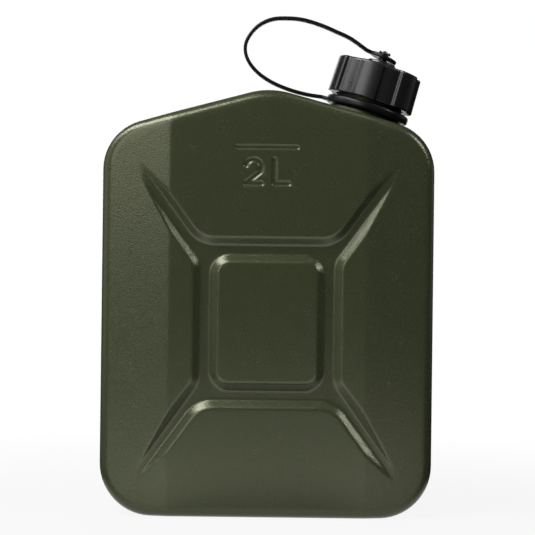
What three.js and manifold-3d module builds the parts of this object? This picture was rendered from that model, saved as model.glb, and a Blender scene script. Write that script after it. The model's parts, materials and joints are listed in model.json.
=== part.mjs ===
// A flat two-litre fuel can of pressed steel: two half shells welded on their rim, a filler neck on the
// right-hand roof slope, and a black screw cap that a moulded tether holds to the neck.
// Millimetres, +Z up. The can stands on z = 0, centred on x = 0 and y = 0, with its front towards -y.
import * as THREE from "three";
import { mergeVertices } from "three/addons/utils/BufferGeometryUtils.js";
import Module from "manifold-3d";

const wasm = await Module();
wasm.setup();

const degrees = THREE.MathUtils.degToRad;

// The can's outline, seen from the front.
const BODY_WIDTH = 168;
const SHOULDER_HEIGHT = 193.9;
const ROOF_SLOPE = degrees(15);
const BASE_CORNER_RADIUS = 26;
const SHOULDER_RADIUS = 25;
const RIDGE_RADIUS = 39;

// The pressed half shells: flat middle facet, side facets bent back, rounded edge, recessed rim.
const BODY_DEPTH = 72;
const SHEET = 1;
const EDGE_FILLET = 5;
const CREASE_X = 49.5;
const FACET_ANGLE = degrees(12.2);
const RIM_GAP = 0.3;
const RIM_RECESS = 1.4;
const RIM_RECESS_WIDTH = 9;
const RIM_RECESS_RAMP = 1.6;

// The pressed cross: a corridor round a raised island, and four arms that run out on the side facets.
const CROSS_HEIGHT = 98;
const CROSS_DEPTH = 3;
const CROSS_WALL_RUN = 4;
const ISLAND_WIDTH = 57.8;
const ISLAND_HEIGHT = 68.4;
const ISLAND_CORNER_RADIUS = 10;
const CORRIDOR_WIDTH = 4.7;
const ARM_ANGLE = degrees(53.8);
const ARM_FLOOR_WIDTH = 3.6;
const ARM_CROSSES_X = 34.4;
const ARM_CROSSES_Z = 34.7;
const ARM_UPPER_RADIUS = 17;
const ARM_LOWER_RADIUS = 12;
const ARM_OVERRUN = 8;

// The weld bead that lies in the recessed rim.
const BEAD_WIDTH = 5;
const BEAD_HEIGHT = 0.8;

// The filler neck, which leans out a little further than the roof. Heights run along its axis from the roof.
const NECK_FROM_SIDE = 34.8;
const NECK_LEAN = degrees(1.7);
const NECK_RADIUS = 17;
const NECK_WALL = 2.2;
const NECK_STUB = 4;
const NECK_EASE = 0.5;
const COLLAR_RADIUS = 19;
const COLLAR_HEIGHT = 2.9;
const STOP_BEAD_STEP = 0.7;
const STOP_BEAD_HEIGHT = 0.8;
const STOP_BEAD_SLOPE = 0.2;

// The tether: a ring on the neck, a flat strap and an eye on the cap's stud.
const RING_WIDTH = 4.6;
const RING_HEIGHT = 4;
const RING_CHAMFER = 0.9;
const RING_TAB_LENGTH = 2.3;
const RING_TAB_WIDTH = 8;
const RING_TAB_HEIGHT = 4.6;
const STRAP_WIDTH = 5;
const STRAP_THICKNESS = 1.8;
const STRAP_EDGE_RADIUS = 0.5;
const EYE_RADIUS = 7.2;
const EYE_THICKNESS = 2;
const EYE_TILT = degrees(8);
const EYE_TAB_LENGTH = 2;

// The screw cap, its seal and the split stud on its boss.
const CAP_RISE_ABOVE_BEAD = 0.8;
const CAP_HEIGHT = 19;
const CAP_FOOT_RADIUS = 22.7;
const CAP_CROWN_RADIUS = 22.2;
const CAP_EDGE_RADIUS = 1;
const CAP_TOP_THICKNESS = 2.8;
const CAP_LOBES = 6;
const CAP_LOBE_SPAN = degrees(30);
const CAP_FLANK_SPAN = degrees(3.5);
const CAP_LOBE_STEP = 1.7;
const CAP_FIRST_LOBE = degrees(-103);
const THREAD_ROOM = 1;
const SEAL_THICKNESS = 1.4;
const BOSS_FOOT_RADIUS = 7.8;
const BOSS_TOP_RADIUS = 7.3;
const BOSS_HEIGHT = 3;
const STUD_RADIUS = 2.1;
const STUD_SOCKET_DEPTH = 2.6;
const STUD_CROWN_RADIUS = 3.4;
const STUD_CROWN_TOP_RADIUS = 2.2;
const STUD_CROWN_HEIGHT = 1.7;
const STUD_SPLIT = 0.9;

// Clearances between pieces that touch, turn or slide on each other.
const SEAT_GAP = 0.3;
const TURNING_GAP = 0.4;

// How finely curves are cut into facets.
const ARC_STEP = degrees(11);
const LOBE_STEP = degrees(6);
const ROUND_STEPS = 48;
const FILLET_STEPS = 4;
const STRAP_STEPS = 60;

// How close points count as the same one.
const WELD_DISTANCE = 1e-4;
const CREASE_SLACK = 1e-6;

// The strap's route in the neck's own frame: distance from its axis, height along it.
const STRAP_ROUTE = [
  [-31.8, 3.5],
  [-40.9, 3.1],
  [-49.9, 3.8],
  [-54.6, 4.8],
  [-59.8, 6.6],
  [-65.2, 9.9],
  [-68.9, 14.2],
  [-70.4, 18.9],
  [-69.7, 24.1],
  [-66.8, 30.2],
  [-61.4, 35.2],
  [-53.5, 38.3],
  [-45.6, 39.9],
  [-36.0, 40.0],
  [-28.0, 39.2],
  [-19.4, 38.0],
];

// Places that follow from the sizes above.
const APEX_HEIGHT = SHOULDER_HEIGHT + (BODY_WIDTH / 2) * Math.tan(ROOF_SLOPE);
const NECK_X = BODY_WIDTH / 2 - NECK_FROM_SIDE;
const NECK_FRAME = new THREE.Matrix4()
  .makeTranslation(NECK_X, 0, APEX_HEIGHT - NECK_X * Math.tan(ROOF_SLOPE))
  .multiply(new THREE.Matrix4().makeRotationY(ROOF_SLOPE + NECK_LEAN));
const NECK_BORE_RADIUS = NECK_RADIUS - NECK_WALL;
const RING_FLOOR = COLLAR_HEIGHT + SEAT_GAP;
const STOP_BEAD_FLOOR = RING_FLOOR + RING_HEIGHT + SEAT_GAP;
const CAP_FOOT = STOP_BEAD_FLOOR + STOP_BEAD_HEIGHT + CAP_RISE_ABOVE_BEAD;
const CAP_TOP = CAP_FOOT + CAP_HEIGHT;
const CAP_CEILING = CAP_TOP - CAP_TOP_THICKNESS;
const CAP_BORE_RADIUS = NECK_RADIUS + THREAD_ROOM;
const SEAL_FLOOR = CAP_CEILING - SEAT_GAP - SEAL_THICKNESS;
const NECK_RIM = SEAL_FLOOR - SEAT_GAP;
const RING_BORE_RADIUS = NECK_RADIUS + SEAT_GAP;
const RING_RADIUS = RING_BORE_RADIUS + RING_WIDTH;
const BOSS_TOP = CAP_TOP + BOSS_HEIGHT;
const EYE_HALF = EYE_THICKNESS / 2 / Math.cos(EYE_TILT);
const EYE_HEIGHT = BOSS_TOP + SEAT_GAP + EYE_HALF + EYE_RADIUS * Math.tan(EYE_TILT);
const EYE_BORE_RADIUS = STUD_RADIUS + TURNING_GAP + EYE_HALF * Math.tan(EYE_TILT);
const CROWN_FLOOR = EYE_HEIGHT + EYE_HALF + STUD_CROWN_RADIUS * Math.tan(EYE_TILT) + SEAT_GAP;

// Turns a three.js geometry into a solid that can be joined and cut.
function solidOf(geometry) {
  const bare = geometry.clone();
  bare.deleteAttribute("normal");
  bare.deleteAttribute("uv");
  const merged = mergeVertices(bare, WELD_DISTANCE);
  const triVerts = new Uint32Array(merged.index.array);
  const vertProperties = new Float32Array(merged.attributes.position.array);
  return new wasm.Manifold(new wasm.Mesh({ numProp: 3, vertProperties, triVerts }));
}

// Turns a solid back into a three.js geometry.
function geometryOf(solid) {
  const { numProp, vertProperties, triVerts } = solid.getMesh();
  const geometry = new THREE.BufferGeometry();
  const count = vertProperties.length / numProp;
  const position = new Float32Array(count * 3);
  for (let i = 0; i < count; i += 1) {
    position.set(vertProperties.subarray(i * numProp, i * numProp + 3), i * 3);
  }
  geometry.setAttribute("position", new THREE.BufferAttribute(position, 3));
  geometry.setIndex(new THREE.BufferAttribute(new Uint32Array(triVerts), 1));
  geometry.computeVertexNormals();
  return geometry;
}

// A mesh with its own painted or moulded finish.
function piece(name, geometry, { color, roughness, metalness }) {
  const material = new THREE.MeshStandardMaterial({ color, roughness, metalness });
  const mesh = new THREE.Mesh(geometry, material);
  mesh.name = name;
  return mesh;
}

// A counter-clockwise polygon with rounded corners. Each point carries the outward normal there.
function roundedOutline(corners) {
  const outline = [];
  corners.forEach((corner, i) => {
    const before = corners[(i + corners.length - 1) % corners.length];
    const after = corners[(i + 1) % corners.length];
    const arriving = new THREE.Vector2().subVectors(corner.at, before.at).normalize();
    const leaving = new THREE.Vector2().subVectors(after.at, corner.at).normalize();
    const turn = Math.atan2(arriving.cross(leaving), arriving.dot(leaving));
    const normal = new THREE.Vector2(arriving.y, -arriving.x);
    const side = Math.sign(turn) * corner.radius;
    const setback = corner.radius * Math.tan(Math.abs(turn) / 2);
    const centre = corner.at.clone().addScaledVector(arriving, -setback).addScaledVector(normal, -side);
    const steps = corner.radius > 0 ? Math.max(2, Math.ceil(Math.abs(turn) / ARC_STEP)) : 0;
    for (let step = 0; step <= steps; step += 1) {
      const share = steps > 0 ? step / steps : 0.5;
      const facing = normal.clone().rotateAround(new THREE.Vector2(), turn * share);
      outline.push({ at: centre.clone().addScaledVector(facing, side), normal: facing });
    }
  });
  return outline;
}

// The points where the face's creases meet the straight stretches of an outline, added in their places.
function withCreasePoints(outline) {
  const creased = [];
  outline.forEach((point, i) => {
    creased.push(point);
    const next = outline[(i + 1) % outline.length];
    const from = point.at.x - point.normal.x * EDGE_FILLET;
    const to = next.at.x - next.normal.x * EDGE_FILLET;
    const crossings = [-CREASE_X, CREASE_X]
      .map((crease) => (crease - from) / (to - from))
      .filter((share) => share > CREASE_SLACK && share < 1 - CREASE_SLACK)
      .sort((a, b) => a - b);
    for (const share of crossings) {
      creased.push({ at: point.at.clone().lerp(next.at, share), normal: point.normal.clone() });
    }
  });
  return creased;
}

// The can's outline as a rounded gable.
function bodyOutline() {
  const half = BODY_WIDTH / 2;
  return withCreasePoints(
    roundedOutline([
      { at: new THREE.Vector2(-half, 0), radius: BASE_CORNER_RADIUS },
      { at: new THREE.Vector2(half, 0), radius: BASE_CORNER_RADIUS },
      { at: new THREE.Vector2(half, SHOULDER_HEIGHT), radius: SHOULDER_RADIUS },
      { at: new THREE.Vector2(0, APEX_HEIGHT), radius: RIDGE_RADIUS },
      { at: new THREE.Vector2(-half, SHOULDER_HEIGHT), radius: SHOULDER_RADIUS },
    ]),
  );
}

// How far the front face stands from the rim's plane at a distance from the middle.
function faceDepth(x) {
  const beyondCrease = Math.max(0, Math.abs(x) - CREASE_X);
  return BODY_DEPTH / 2 - beyondCrease * Math.tan(FACET_ANGLE);
}

// A closed solid through rings of points, with the first and last ring closed by flat facets.
// flatten maps a point to the plane in which its ring runs counter-clockwise.
function loft(rings, flatten, endPatches) {
  const count = rings[0].length;
  const index = [];
  for (let k = 0; k + 1 < rings.length; k += 1) {
    for (let i = 0; i < count; i += 1) {
      const j = (i + 1) % count;
      const [a, b] = [k * count + i, k * count + j];
      const [c, d] = [a + count, b + count];
      index.push(a, b, d, a, d, c);
    }
  }
  const close = (k, patch, reversed) => {
    const contour = patch.map((i) => flatten(rings[k][i]));
    for (const face of THREE.ShapeUtils.triangulateShape(contour, [])) {
      const corners = face.map((i) => k * count + patch[i]);
      index.push(...(reversed ? corners.reverse() : corners));
    }
  };
  const whole = rings[0].map((_, i) => i);
  close(0, whole, true);
  for (const patch of endPatches ?? [whole]) {
    close(rings.length - 1, patch, false);
  }
  const geometry = new THREE.BufferGeometry();
  const position = rings.flat().flatMap((point) => point.toArray());
  geometry.setAttribute("position", new THREE.Float32BufferAttribute(position, 3));
  geometry.setIndex(index);
  return geometry;
}

// The three flat facets of a face, as lists of the points of its boundary ring.
function facets(ring) {
  const patch = (inside) => ring.map((_, i) => i).filter((i) => inside(ring[i].x));
  return [
    patch((x) => x <= -CREASE_X + CREASE_SLACK),
    patch((x) => Math.abs(x) <= CREASE_X + CREASE_SLACK),
    patch((x) => x >= CREASE_X - CREASE_SLACK),
  ];
}

// The front half of the can as a solid block, drawn in by an inset on every side.
function halfBlock(inset, rimY) {
  const outline = bodyOutline();
  const recessEdge = RIM_RECESS_WIDTH / 2;
  const ring = (drawnIn, depthAt) =>
    outline.map(({ at, normal }) => {
      const x = at.x - normal.x * drawnIn;
      const z = at.y - normal.y * drawnIn;
      return new THREE.Vector3(x, -depthAt(x), z);
    });
  const rings = [
    ring(inset + RIM_RECESS, () => rimY),
    ring(inset + RIM_RECESS, () => recessEdge),
    ring(inset, () => recessEdge + RIM_RECESS_RAMP),
  ];
  const radius = EDGE_FILLET - inset;
  for (let step = 0; step <= FILLET_STEPS; step += 1) {
    const angle = ((step / FILLET_STEPS) * Math.PI) / 2;
    const drawnIn = inset + radius * (1 - Math.cos(angle));
    rings.push(ring(drawnIn, (x) => faceDepth(x) - inset - radius * (1 - Math.sin(angle))));
  }
  return loft(rings, (point) => new THREE.Vector2(point.x, point.z), facets(rings.at(-1)));
}

// The floor of the pressed cross, centred on the origin.
function crossOutline() {
  const corridorX = ISLAND_WIDTH / 2 + CORRIDOR_WIDTH;
  const corridorZ = ISLAND_HEIGHT / 2 + CORRIDOR_WIDTH;
  const rise = Math.tan(ARM_ANGLE);
  const halfAcross = ARM_FLOOR_WIDTH / 2 / Math.cos(ARM_ANGLE);
  const runOut = CREASE_X + CROSS_DEPTH / Math.tan(FACET_ANGLE);
  const armEnd = runOut + ARM_OVERRUN;
  const upperEdge = (x) => ARM_CROSSES_Z + halfAcross + (x - ARM_CROSSES_X) * rise;
  const lowerEdge = (x) => upperEdge(x) - 2 * halfAcross;
  const upperBend = ARM_CROSSES_X + (corridorZ - ARM_CROSSES_Z - halfAcross) / rise;
  const quarter = [
    { x: corridorX, z: lowerEdge(corridorX), radius: ARM_LOWER_RADIUS },
    { x: armEnd, z: lowerEdge(armEnd), radius: 0 },
    { x: armEnd, z: upperEdge(armEnd), radius: 0 },
    { x: upperBend, z: corridorZ, radius: ARM_UPPER_RADIUS },
  ];
  const mirrored = (sx, sz) => {
    const turned = quarter.map(({ x, z, radius }) => ({ at: new THREE.Vector2(sx * x, sz * z), radius }));
    return sx * sz > 0 ? turned : turned.reverse();
  };
  const corners = [...mirrored(1, 1), ...mirrored(-1, 1), ...mirrored(-1, -1), ...mirrored(1, -1)];
  return roundedOutline(corners).map(({ at }) => at);
}

// The foot of the island that the cross leaves standing.
function islandOutline() {
  const [x, z] = [ISLAND_WIDTH / 2, ISLAND_HEIGHT / 2];
  const corners = [
    [-x, -z],
    [x, -z],
    [x, z],
    [-x, z],
  ].map(([u, v]) => ({ at: new THREE.Vector2(u, v), radius: ISLAND_CORNER_RADIUS }));
  return roundedOutline(corners).map(({ at }) => at);
}

// The space that the cross takes out of the front, on the sheet's outer side or, by an offset, its inner one.
function crossCutter(offset) {
  const floor = new THREE.Shape(crossOutline());
  floor.holes.push(new THREE.Path(islandOutline()));
  const wallAngle = Math.atan2(CROSS_DEPTH, CROSS_WALL_RUN);
  const geometry = new THREE.ExtrudeGeometry(floor, {
    depth: CROSS_DEPTH,
    bevelThickness: CROSS_DEPTH,
    bevelSize: CROSS_WALL_RUN,
    bevelOffset: offset * Math.tan(wallAngle / 2),
    bevelSegments: 1,
  });
  geometry.rotateX(Math.PI / 2);
  return geometry.translate(0, offset - BODY_DEPTH / 2, CROSS_HEIGHT);
}

// A solid of revolution about the neck's axis from a closed profile of [radius, height] points.
function turned(profile) {
  const points = profile.map(([radius, height]) => new THREE.Vector2(radius, height));
  points.push(points[0].clone());
  return new THREE.LatheGeometry(points, ROUND_STEPS).rotateX(Math.PI / 2);
}

// A round bar about the neck's axis between two heights.
function roundBar(footRadius, topRadius, from, to) {
  const bar = new THREE.CylinderGeometry(topRadius, footRadius, to - from, ROUND_STEPS);
  return bar.rotateX(Math.PI / 2).translate(0, 0, (from + to) / 2);
}

// The hole in the roof that a bar of a given radius leaves.
function roofHole(radius) {
  return solidOf(roundBar(radius, radius, -2 * NECK_STUB, 2 * NECK_STUB).applyMatrix4(NECK_FRAME));
}

// One pressed half shell: the block with its cross, hollowed to the sheet's thickness and open for the neck.
function frontShell() {
  const pressed = solidOf(halfBlock(0, RIM_GAP / 2)).subtract(solidOf(crossCutter(0)));
  const hollow = solidOf(halfBlock(SHEET, -RIM_GAP)).subtract(solidOf(crossCutter(SHEET)));
  return pressed.subtract(hollow).subtract(roofHole(NECK_RADIUS + SEAT_GAP));
}

// The rear half is the front one mirrored on the rim's plane.
function mirroredInDepth(geometry) {
  const mirror = geometry.clone().scale(1, -1, 1);
  const index = mirror.index.array;
  for (let i = 0; i < index.length; i += 3) {
    [index[i + 1], index[i + 2]] = [index[i + 2], index[i + 1]];
  }
  mirror.computeVertexNormals();
  return mirror;
}

// The weld bead that runs round the rim in its recess and stops at the neck.
function seamWeld() {
  const outline = bodyOutline();
  const foot = RIM_RECESS - SEAT_GAP;
  const crown = foot - BEAD_HEIGHT;
  const half = BEAD_WIDTH / 2;
  const flank = half * Math.SQRT1_2;
  const flankInset = foot - BEAD_HEIGHT * Math.SQRT1_2;
  const section = [
    [-half, foot],
    [half, foot],
    [flank, flankInset],
    [0, crown],
    [-flank, flankInset],
  ];
  const position = [];
  const index = [];
  outline.forEach(({ at, normal }, i) => {
    for (const [y, inset] of section) {
      position.push(at.x - normal.x * inset, y, at.y - normal.y * inset);
    }
    const here = i * section.length;
    const next = ((i + 1) % outline.length) * section.length;
    section.forEach((_, j) => {
      const k = (j + 1) % section.length;
      index.push(here + j, next + j, next + k, here + j, next + k, here + k);
    });
  });
  const geometry = new THREE.BufferGeometry();
  geometry.setAttribute("position", new THREE.Float32BufferAttribute(position, 3));
  geometry.setIndex(index);
  return solidOf(geometry).subtract(roofHole(NECK_RADIUS + 2 * SEAT_GAP));
}

// The neck: a tube through the roof, a collar cut along the roof's slope, a stop bead over the tether ring
// and an eased rim.
function fillerNeck() {
  const bead = NECK_RADIUS + STOP_BEAD_STEP;
  const tube = turned([
    [NECK_BORE_RADIUS, -NECK_STUB],
    [NECK_RADIUS, -NECK_STUB],
    [NECK_RADIUS, STOP_BEAD_FLOOR],
    [bead, STOP_BEAD_FLOOR + STOP_BEAD_SLOPE],
    [bead, STOP_BEAD_FLOOR + STOP_BEAD_HEIGHT - STOP_BEAD_SLOPE],
    [NECK_RADIUS, STOP_BEAD_FLOOR + STOP_BEAD_HEIGHT],
    [NECK_RADIUS, NECK_RIM - NECK_EASE],
    [NECK_RADIUS - NECK_EASE, NECK_RIM],
    [NECK_BORE_RADIUS + NECK_EASE, NECK_RIM],
    [NECK_BORE_RADIUS, NECK_RIM - NECK_EASE],
  ]);
  const middle = NECK_RADIUS - NECK_WALL / 2;
  const collar = turned([
    [middle, -NECK_STUB],
    [COLLAR_RADIUS, -NECK_STUB],
    [COLLAR_RADIUS, COLLAR_HEIGHT],
    [middle, COLLAR_HEIGHT],
  ]);
  const roofNormal = [-Math.sin(NECK_LEAN), 0, Math.cos(NECK_LEAN)];
  return geometryOf(solidOf(tube).add(solidOf(collar).trimByPlane(roofNormal, SEAT_GAP)));
}

// A flat tapering tab that runs from a ring towards -x, as thick as the strap it carries.
function tab(from, to, rootWidth, height) {
  const outline = new THREE.Shape([
    new THREE.Vector2(-from, rootWidth / 2),
    new THREE.Vector2(-to, STRAP_WIDTH / 2),
    new THREE.Vector2(-to, -STRAP_WIDTH / 2),
    new THREE.Vector2(-from, -rootWidth / 2),
  ]);
  const plate = new THREE.ExtrudeGeometry(outline, { depth: STRAP_THICKNESS, bevelEnabled: false });
  return plate.translate(0, 0, height - STRAP_THICKNESS / 2);
}

// The tether's ring, loose on the neck between the collar and the stop bead, with the strap's tab.
function tetherRing() {
  const top = RING_FLOOR + RING_HEIGHT;
  const ring = turned([
    [RING_BORE_RADIUS, RING_FLOOR],
    [RING_RADIUS - RING_CHAMFER, RING_FLOOR],
    [RING_RADIUS, RING_FLOOR + RING_CHAMFER],
    [RING_RADIUS, top - RING_CHAMFER],
    [RING_RADIUS - RING_CHAMFER, top],
    [RING_BORE_RADIUS, top],
  ]);
  const root = (RING_BORE_RADIUS + RING_RADIUS) / 2;
  const strapTab = tab(root, RING_RADIUS + RING_TAB_LENGTH, RING_TAB_WIDTH, RING_TAB_HEIGHT);
  return geometryOf(solidOf(ring).add(solidOf(strapTab)));
}

// The flat strap from the ring's tab, over the ridge and back to the eye's tab.
function tetherStrap() {
  const start = [-(RING_RADIUS + RING_TAB_LENGTH + SEAT_GAP), RING_TAB_HEIGHT];
  const reach = EYE_RADIUS + EYE_TAB_LENGTH + SEAT_GAP;
  const end = [-reach * Math.cos(EYE_TILT), EYE_HEIGHT + reach * Math.sin(EYE_TILT)];
  const points = [start, ...STRAP_ROUTE, end].map(([along, height]) => new THREE.Vector3(along, 0, height));
  const [x, y] = [STRAP_WIDTH / 2, STRAP_THICKNESS / 2];
  const corners = [
    [-x, -y],
    [x, -y],
    [x, y],
    [-x, y],
  ].map(([u, v]) => ({ at: new THREE.Vector2(u, v), radius: STRAP_EDGE_RADIUS }));
  const section = new THREE.Shape(
    corners.flatMap(({ at, radius }) => {
      const inner = new THREE.Vector2(at.x - Math.sign(at.x) * radius, at.y);
      const outer = new THREE.Vector2(at.x, at.y - Math.sign(at.y) * radius);
      return at.x * at.y > 0 ? [outer, inner] : [inner, outer];
    }),
  );
  return new THREE.ExtrudeGeometry(section, {
    steps: STRAP_STEPS,
    extrudePath: new THREE.CatmullRomCurve3(points, false, "centripetal"),
  });
}

// The tether's eye, drawn flat about its own centre.
function tetherEye() {
  const half = EYE_THICKNESS / 2;
  const ring = turned([
    [EYE_BORE_RADIUS, -half],
    [EYE_RADIUS, -half],
    [EYE_RADIUS, half],
    [EYE_BORE_RADIUS, half],
  ]);
  const root = (EYE_BORE_RADIUS + EYE_RADIUS) / 2;
  const strapTab = tab(root, EYE_RADIUS + EYE_TAB_LENGTH, STRAP_WIDTH, 0);
  return geometryOf(solidOf(ring).add(solidOf(strapTab)));
}

// The cap's lobed section: wide grips with narrower recesses between them.
function capSection(radius) {
  const pitch = (2 * Math.PI) / CAP_LOBES;
  const lobeSteps = Math.ceil(CAP_LOBE_SPAN / LOBE_STEP);
  const recessSpan = pitch - CAP_LOBE_SPAN - 2 * CAP_FLANK_SPAN;
  const recessSteps = Math.ceil(recessSpan / LOBE_STEP);
  const points = [];
  const arc = (r, from, span, steps) => {
    for (let step = 0; step <= steps; step += 1) {
      const angle = from + (span * step) / steps;
      points.push(new THREE.Vector2(r * Math.cos(angle), r * Math.sin(angle)));
    }
  };
  for (let lobe = 0; lobe < CAP_LOBES; lobe += 1) {
    const start = CAP_FIRST_LOBE + lobe * pitch - CAP_LOBE_SPAN / 2;
    arc(radius, start, CAP_LOBE_SPAN, lobeSteps);
    arc(radius - CAP_LOBE_STEP, start + CAP_LOBE_SPAN + CAP_FLANK_SPAN, recessSpan, recessSteps);
  }
  return points;
}

// The cap: a lobed, slightly tapering cup with a boss on top that holds the stud.
function capShell() {
  const ring = (radius, height) => capSection(radius).map(({ x, y }) => new THREE.Vector3(x, y, height));
  const round = Math.SQRT1_2 * CAP_EDGE_RADIUS;
  const outer = loft(
    [
      ring(CAP_FOOT_RADIUS, CAP_FOOT),
      ring(CAP_CROWN_RADIUS, CAP_TOP - CAP_EDGE_RADIUS),
      ring(CAP_CROWN_RADIUS - CAP_EDGE_RADIUS + round, CAP_TOP - CAP_EDGE_RADIUS + round),
      ring(CAP_CROWN_RADIUS - CAP_EDGE_RADIUS, CAP_TOP),
    ],
    (point) => new THREE.Vector2(point.x, point.y),
  );
  const bore = roundBar(CAP_BORE_RADIUS, CAP_BORE_RADIUS, CAP_FOOT - CAP_HEIGHT, CAP_CEILING);
  const boss = roundBar(BOSS_FOOT_RADIUS, BOSS_TOP_RADIUS, CAP_TOP - CAP_TOP_THICKNESS / 2, BOSS_TOP);
  const socketRadius = STUD_RADIUS + SEAT_GAP;
  const socket = roundBar(socketRadius, socketRadius, BOSS_TOP - STUD_SOCKET_DEPTH, BOSS_TOP + BOSS_HEIGHT);
  return geometryOf(solidOf(outer).subtract(solidOf(bore)).add(solidOf(boss)).subtract(solidOf(socket)));
}

// The seal disc between the neck's rim and the inside of the cap.
function capSeal() {
  const radius = CAP_BORE_RADIUS - TURNING_GAP;
  return roundBar(radius, radius, SEAL_FLOOR, SEAL_FLOOR + SEAL_THICKNESS);
}

// The stud: a pin pressed into the boss, with a flared crown split into four prongs over the eye.
function tetherStud() {
  const foot = BOSS_TOP - STUD_SOCKET_DEPTH + SEAT_GAP;
  const top = CROWN_FLOOR + STUD_CROWN_HEIGHT;
  const shank = roundBar(STUD_RADIUS, STUD_RADIUS, foot, top);
  const crown = roundBar(STUD_CROWN_RADIUS, STUD_CROWN_TOP_RADIUS, CROWN_FLOOR, top);
  let stud = solidOf(shank).add(solidOf(crown));
  for (const cutTurn of [Math.PI / 4, (3 * Math.PI) / 4]) {
    const cut = new THREE.BoxGeometry(3 * STUD_CROWN_RADIUS, STUD_SPLIT, 2 * STUD_CROWN_HEIGHT);
    stud = stud.subtract(solidOf(cut.rotateZ(cutTurn).translate(0, 0, top)));
  }
  return geometryOf(stud);
}

// Finishes.
const OLIVE_PAINT = { color: 0x5b6338, roughness: 0.5, metalness: 0.1 };
const BLACK_MOULDING = { color: 0x17181a, roughness: 0.45, metalness: 0 };
const BLACK_RUBBER = { color: 0x101010, roughness: 0.8, metalness: 0 };

// The whole can.
function fuelCan() {
  const can = new THREE.Group();
  const shell = geometryOf(frontShell());
  can.add(piece("front_shell", shell, OLIVE_PAINT));
  can.add(piece("rear_shell", mirroredInDepth(shell), OLIVE_PAINT));
  can.add(piece("seam_weld", geometryOf(seamWeld()), OLIVE_PAINT));

  const spout = new THREE.Group();
  spout.applyMatrix4(NECK_FRAME);
  spout.add(piece("filler_neck", fillerNeck(), OLIVE_PAINT));
  spout.add(piece("tether_ring", tetherRing(), BLACK_MOULDING));
  spout.add(piece("tether_strap", tetherStrap(), BLACK_MOULDING));
  spout.add(piece("cap_shell", capShell(), BLACK_MOULDING));
  spout.add(piece("cap_seal", capSeal(), BLACK_RUBBER));
  spout.add(piece("tether_stud", tetherStud(), BLACK_MOULDING));

  const eye = piece("tether_eye", tetherEye(), BLACK_MOULDING);
  eye.position.z = EYE_HEIGHT;
  eye.rotation.y = EYE_TILT;
  spout.add(eye);

  can.add(spout);
  return can;
}

export default fuelCan();
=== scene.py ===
"""Looks of a flat two-litre fuel can: pressed shells, weld, neck, tether and cap on a plain studio floor.

Sizes are in millimetres, as in the part's source, and become metres when a mesh is made.
"""
import json
import logging
import math
from collections import defaultdict
from collections.abc import Callable, Iterable, Sequence
from dataclasses import dataclass, field, replace
from enum import Enum

import bmesh
import bpy
import numpy as np
from mathutils import Matrix, Vector
from mathutils.geometry import delaunay_2d_cdt


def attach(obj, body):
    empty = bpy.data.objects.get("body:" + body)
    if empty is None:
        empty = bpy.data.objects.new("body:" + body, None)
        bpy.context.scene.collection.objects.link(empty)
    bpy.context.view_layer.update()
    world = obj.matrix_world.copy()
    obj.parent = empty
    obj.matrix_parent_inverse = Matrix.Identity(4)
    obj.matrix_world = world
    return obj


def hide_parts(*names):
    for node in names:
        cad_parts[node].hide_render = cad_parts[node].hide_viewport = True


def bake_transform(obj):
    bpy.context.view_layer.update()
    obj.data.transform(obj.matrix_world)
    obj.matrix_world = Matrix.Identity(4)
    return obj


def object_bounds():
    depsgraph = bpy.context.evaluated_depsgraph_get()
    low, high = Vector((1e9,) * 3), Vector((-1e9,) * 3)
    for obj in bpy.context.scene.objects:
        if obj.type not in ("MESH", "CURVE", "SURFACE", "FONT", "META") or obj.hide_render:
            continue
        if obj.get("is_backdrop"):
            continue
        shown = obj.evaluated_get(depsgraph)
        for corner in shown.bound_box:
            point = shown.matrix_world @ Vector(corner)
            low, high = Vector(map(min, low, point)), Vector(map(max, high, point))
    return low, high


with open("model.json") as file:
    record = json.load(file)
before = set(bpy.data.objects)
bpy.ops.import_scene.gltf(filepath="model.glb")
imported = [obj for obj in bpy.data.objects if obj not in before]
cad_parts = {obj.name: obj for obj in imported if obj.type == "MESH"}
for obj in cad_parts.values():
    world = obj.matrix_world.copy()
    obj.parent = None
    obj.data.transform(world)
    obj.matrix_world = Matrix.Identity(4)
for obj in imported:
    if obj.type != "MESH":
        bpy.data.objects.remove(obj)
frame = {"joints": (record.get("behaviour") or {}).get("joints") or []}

CAD_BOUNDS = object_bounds()
MM = 0.001
FULL_TURN = 2 * math.pi
QUARTER_TURN = math.pi / 2
TINY = 1e-6
NO_LENGTH = 1e-12
SAME_RADIUS = 0.05
SHARP_ANGLE = math.radians(40)
WHITE = (1.0, 1.0, 1.0, 1.0)
HOLE_COLUMNS = 64
LEAST_ARC_STEPS = 3
log = logging.getLogger("fuel_can")

Setting = str | int | float | bool
Color = tuple[float, float, float]
Place = tuple[float, float, float]


class Body(str, Enum):
    """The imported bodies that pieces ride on."""

    CAN = "can"
    EYE = "eye"
    CAP = "cap"


class Side(Enum):
    """The can's two half shells, by the direction in which they stand from the rim."""

    FRONT = -1
    REAR = 1


class Slot(str, Enum):
    """The record's material slots."""

    PAINT = "olive_paint"
    MOULDING = "black_moulding"
    RUBBER = "black_rubber"


def soft_plus(value: np.ndarray, width: float) -> np.ndarray:
    """Rises from zero to the value with a rounded bend.

    Args:
        value: the values that are kept where they are positive.
        width: how soft the bend at zero is.

    Returns:
        The softened positive part.
    """
    return width * np.logaddexp(0.0, value / width)


def soft_min(first: np.ndarray, second: np.ndarray, width: float) -> np.ndarray:
    """The lower of two heights with a rounded edge where they cross.

    Args:
        first: one height at each place.
        second: the other height at each place.
        width: how soft the edge is.

    Returns:
        The softened lower height.
    """
    return -width * np.logaddexp(-first / width, -second / width)


def smooth_step(value: np.ndarray | float) -> np.ndarray | float:
    """Eases from 0 to 1.

    Args:
        value: where between 0 and 1 the ease stands; values outside are held.

    Returns:
        The eased share.
    """
    share = np.clip(value, 0.0, 1.0)
    return share * share * (3 - 2 * share)


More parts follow.
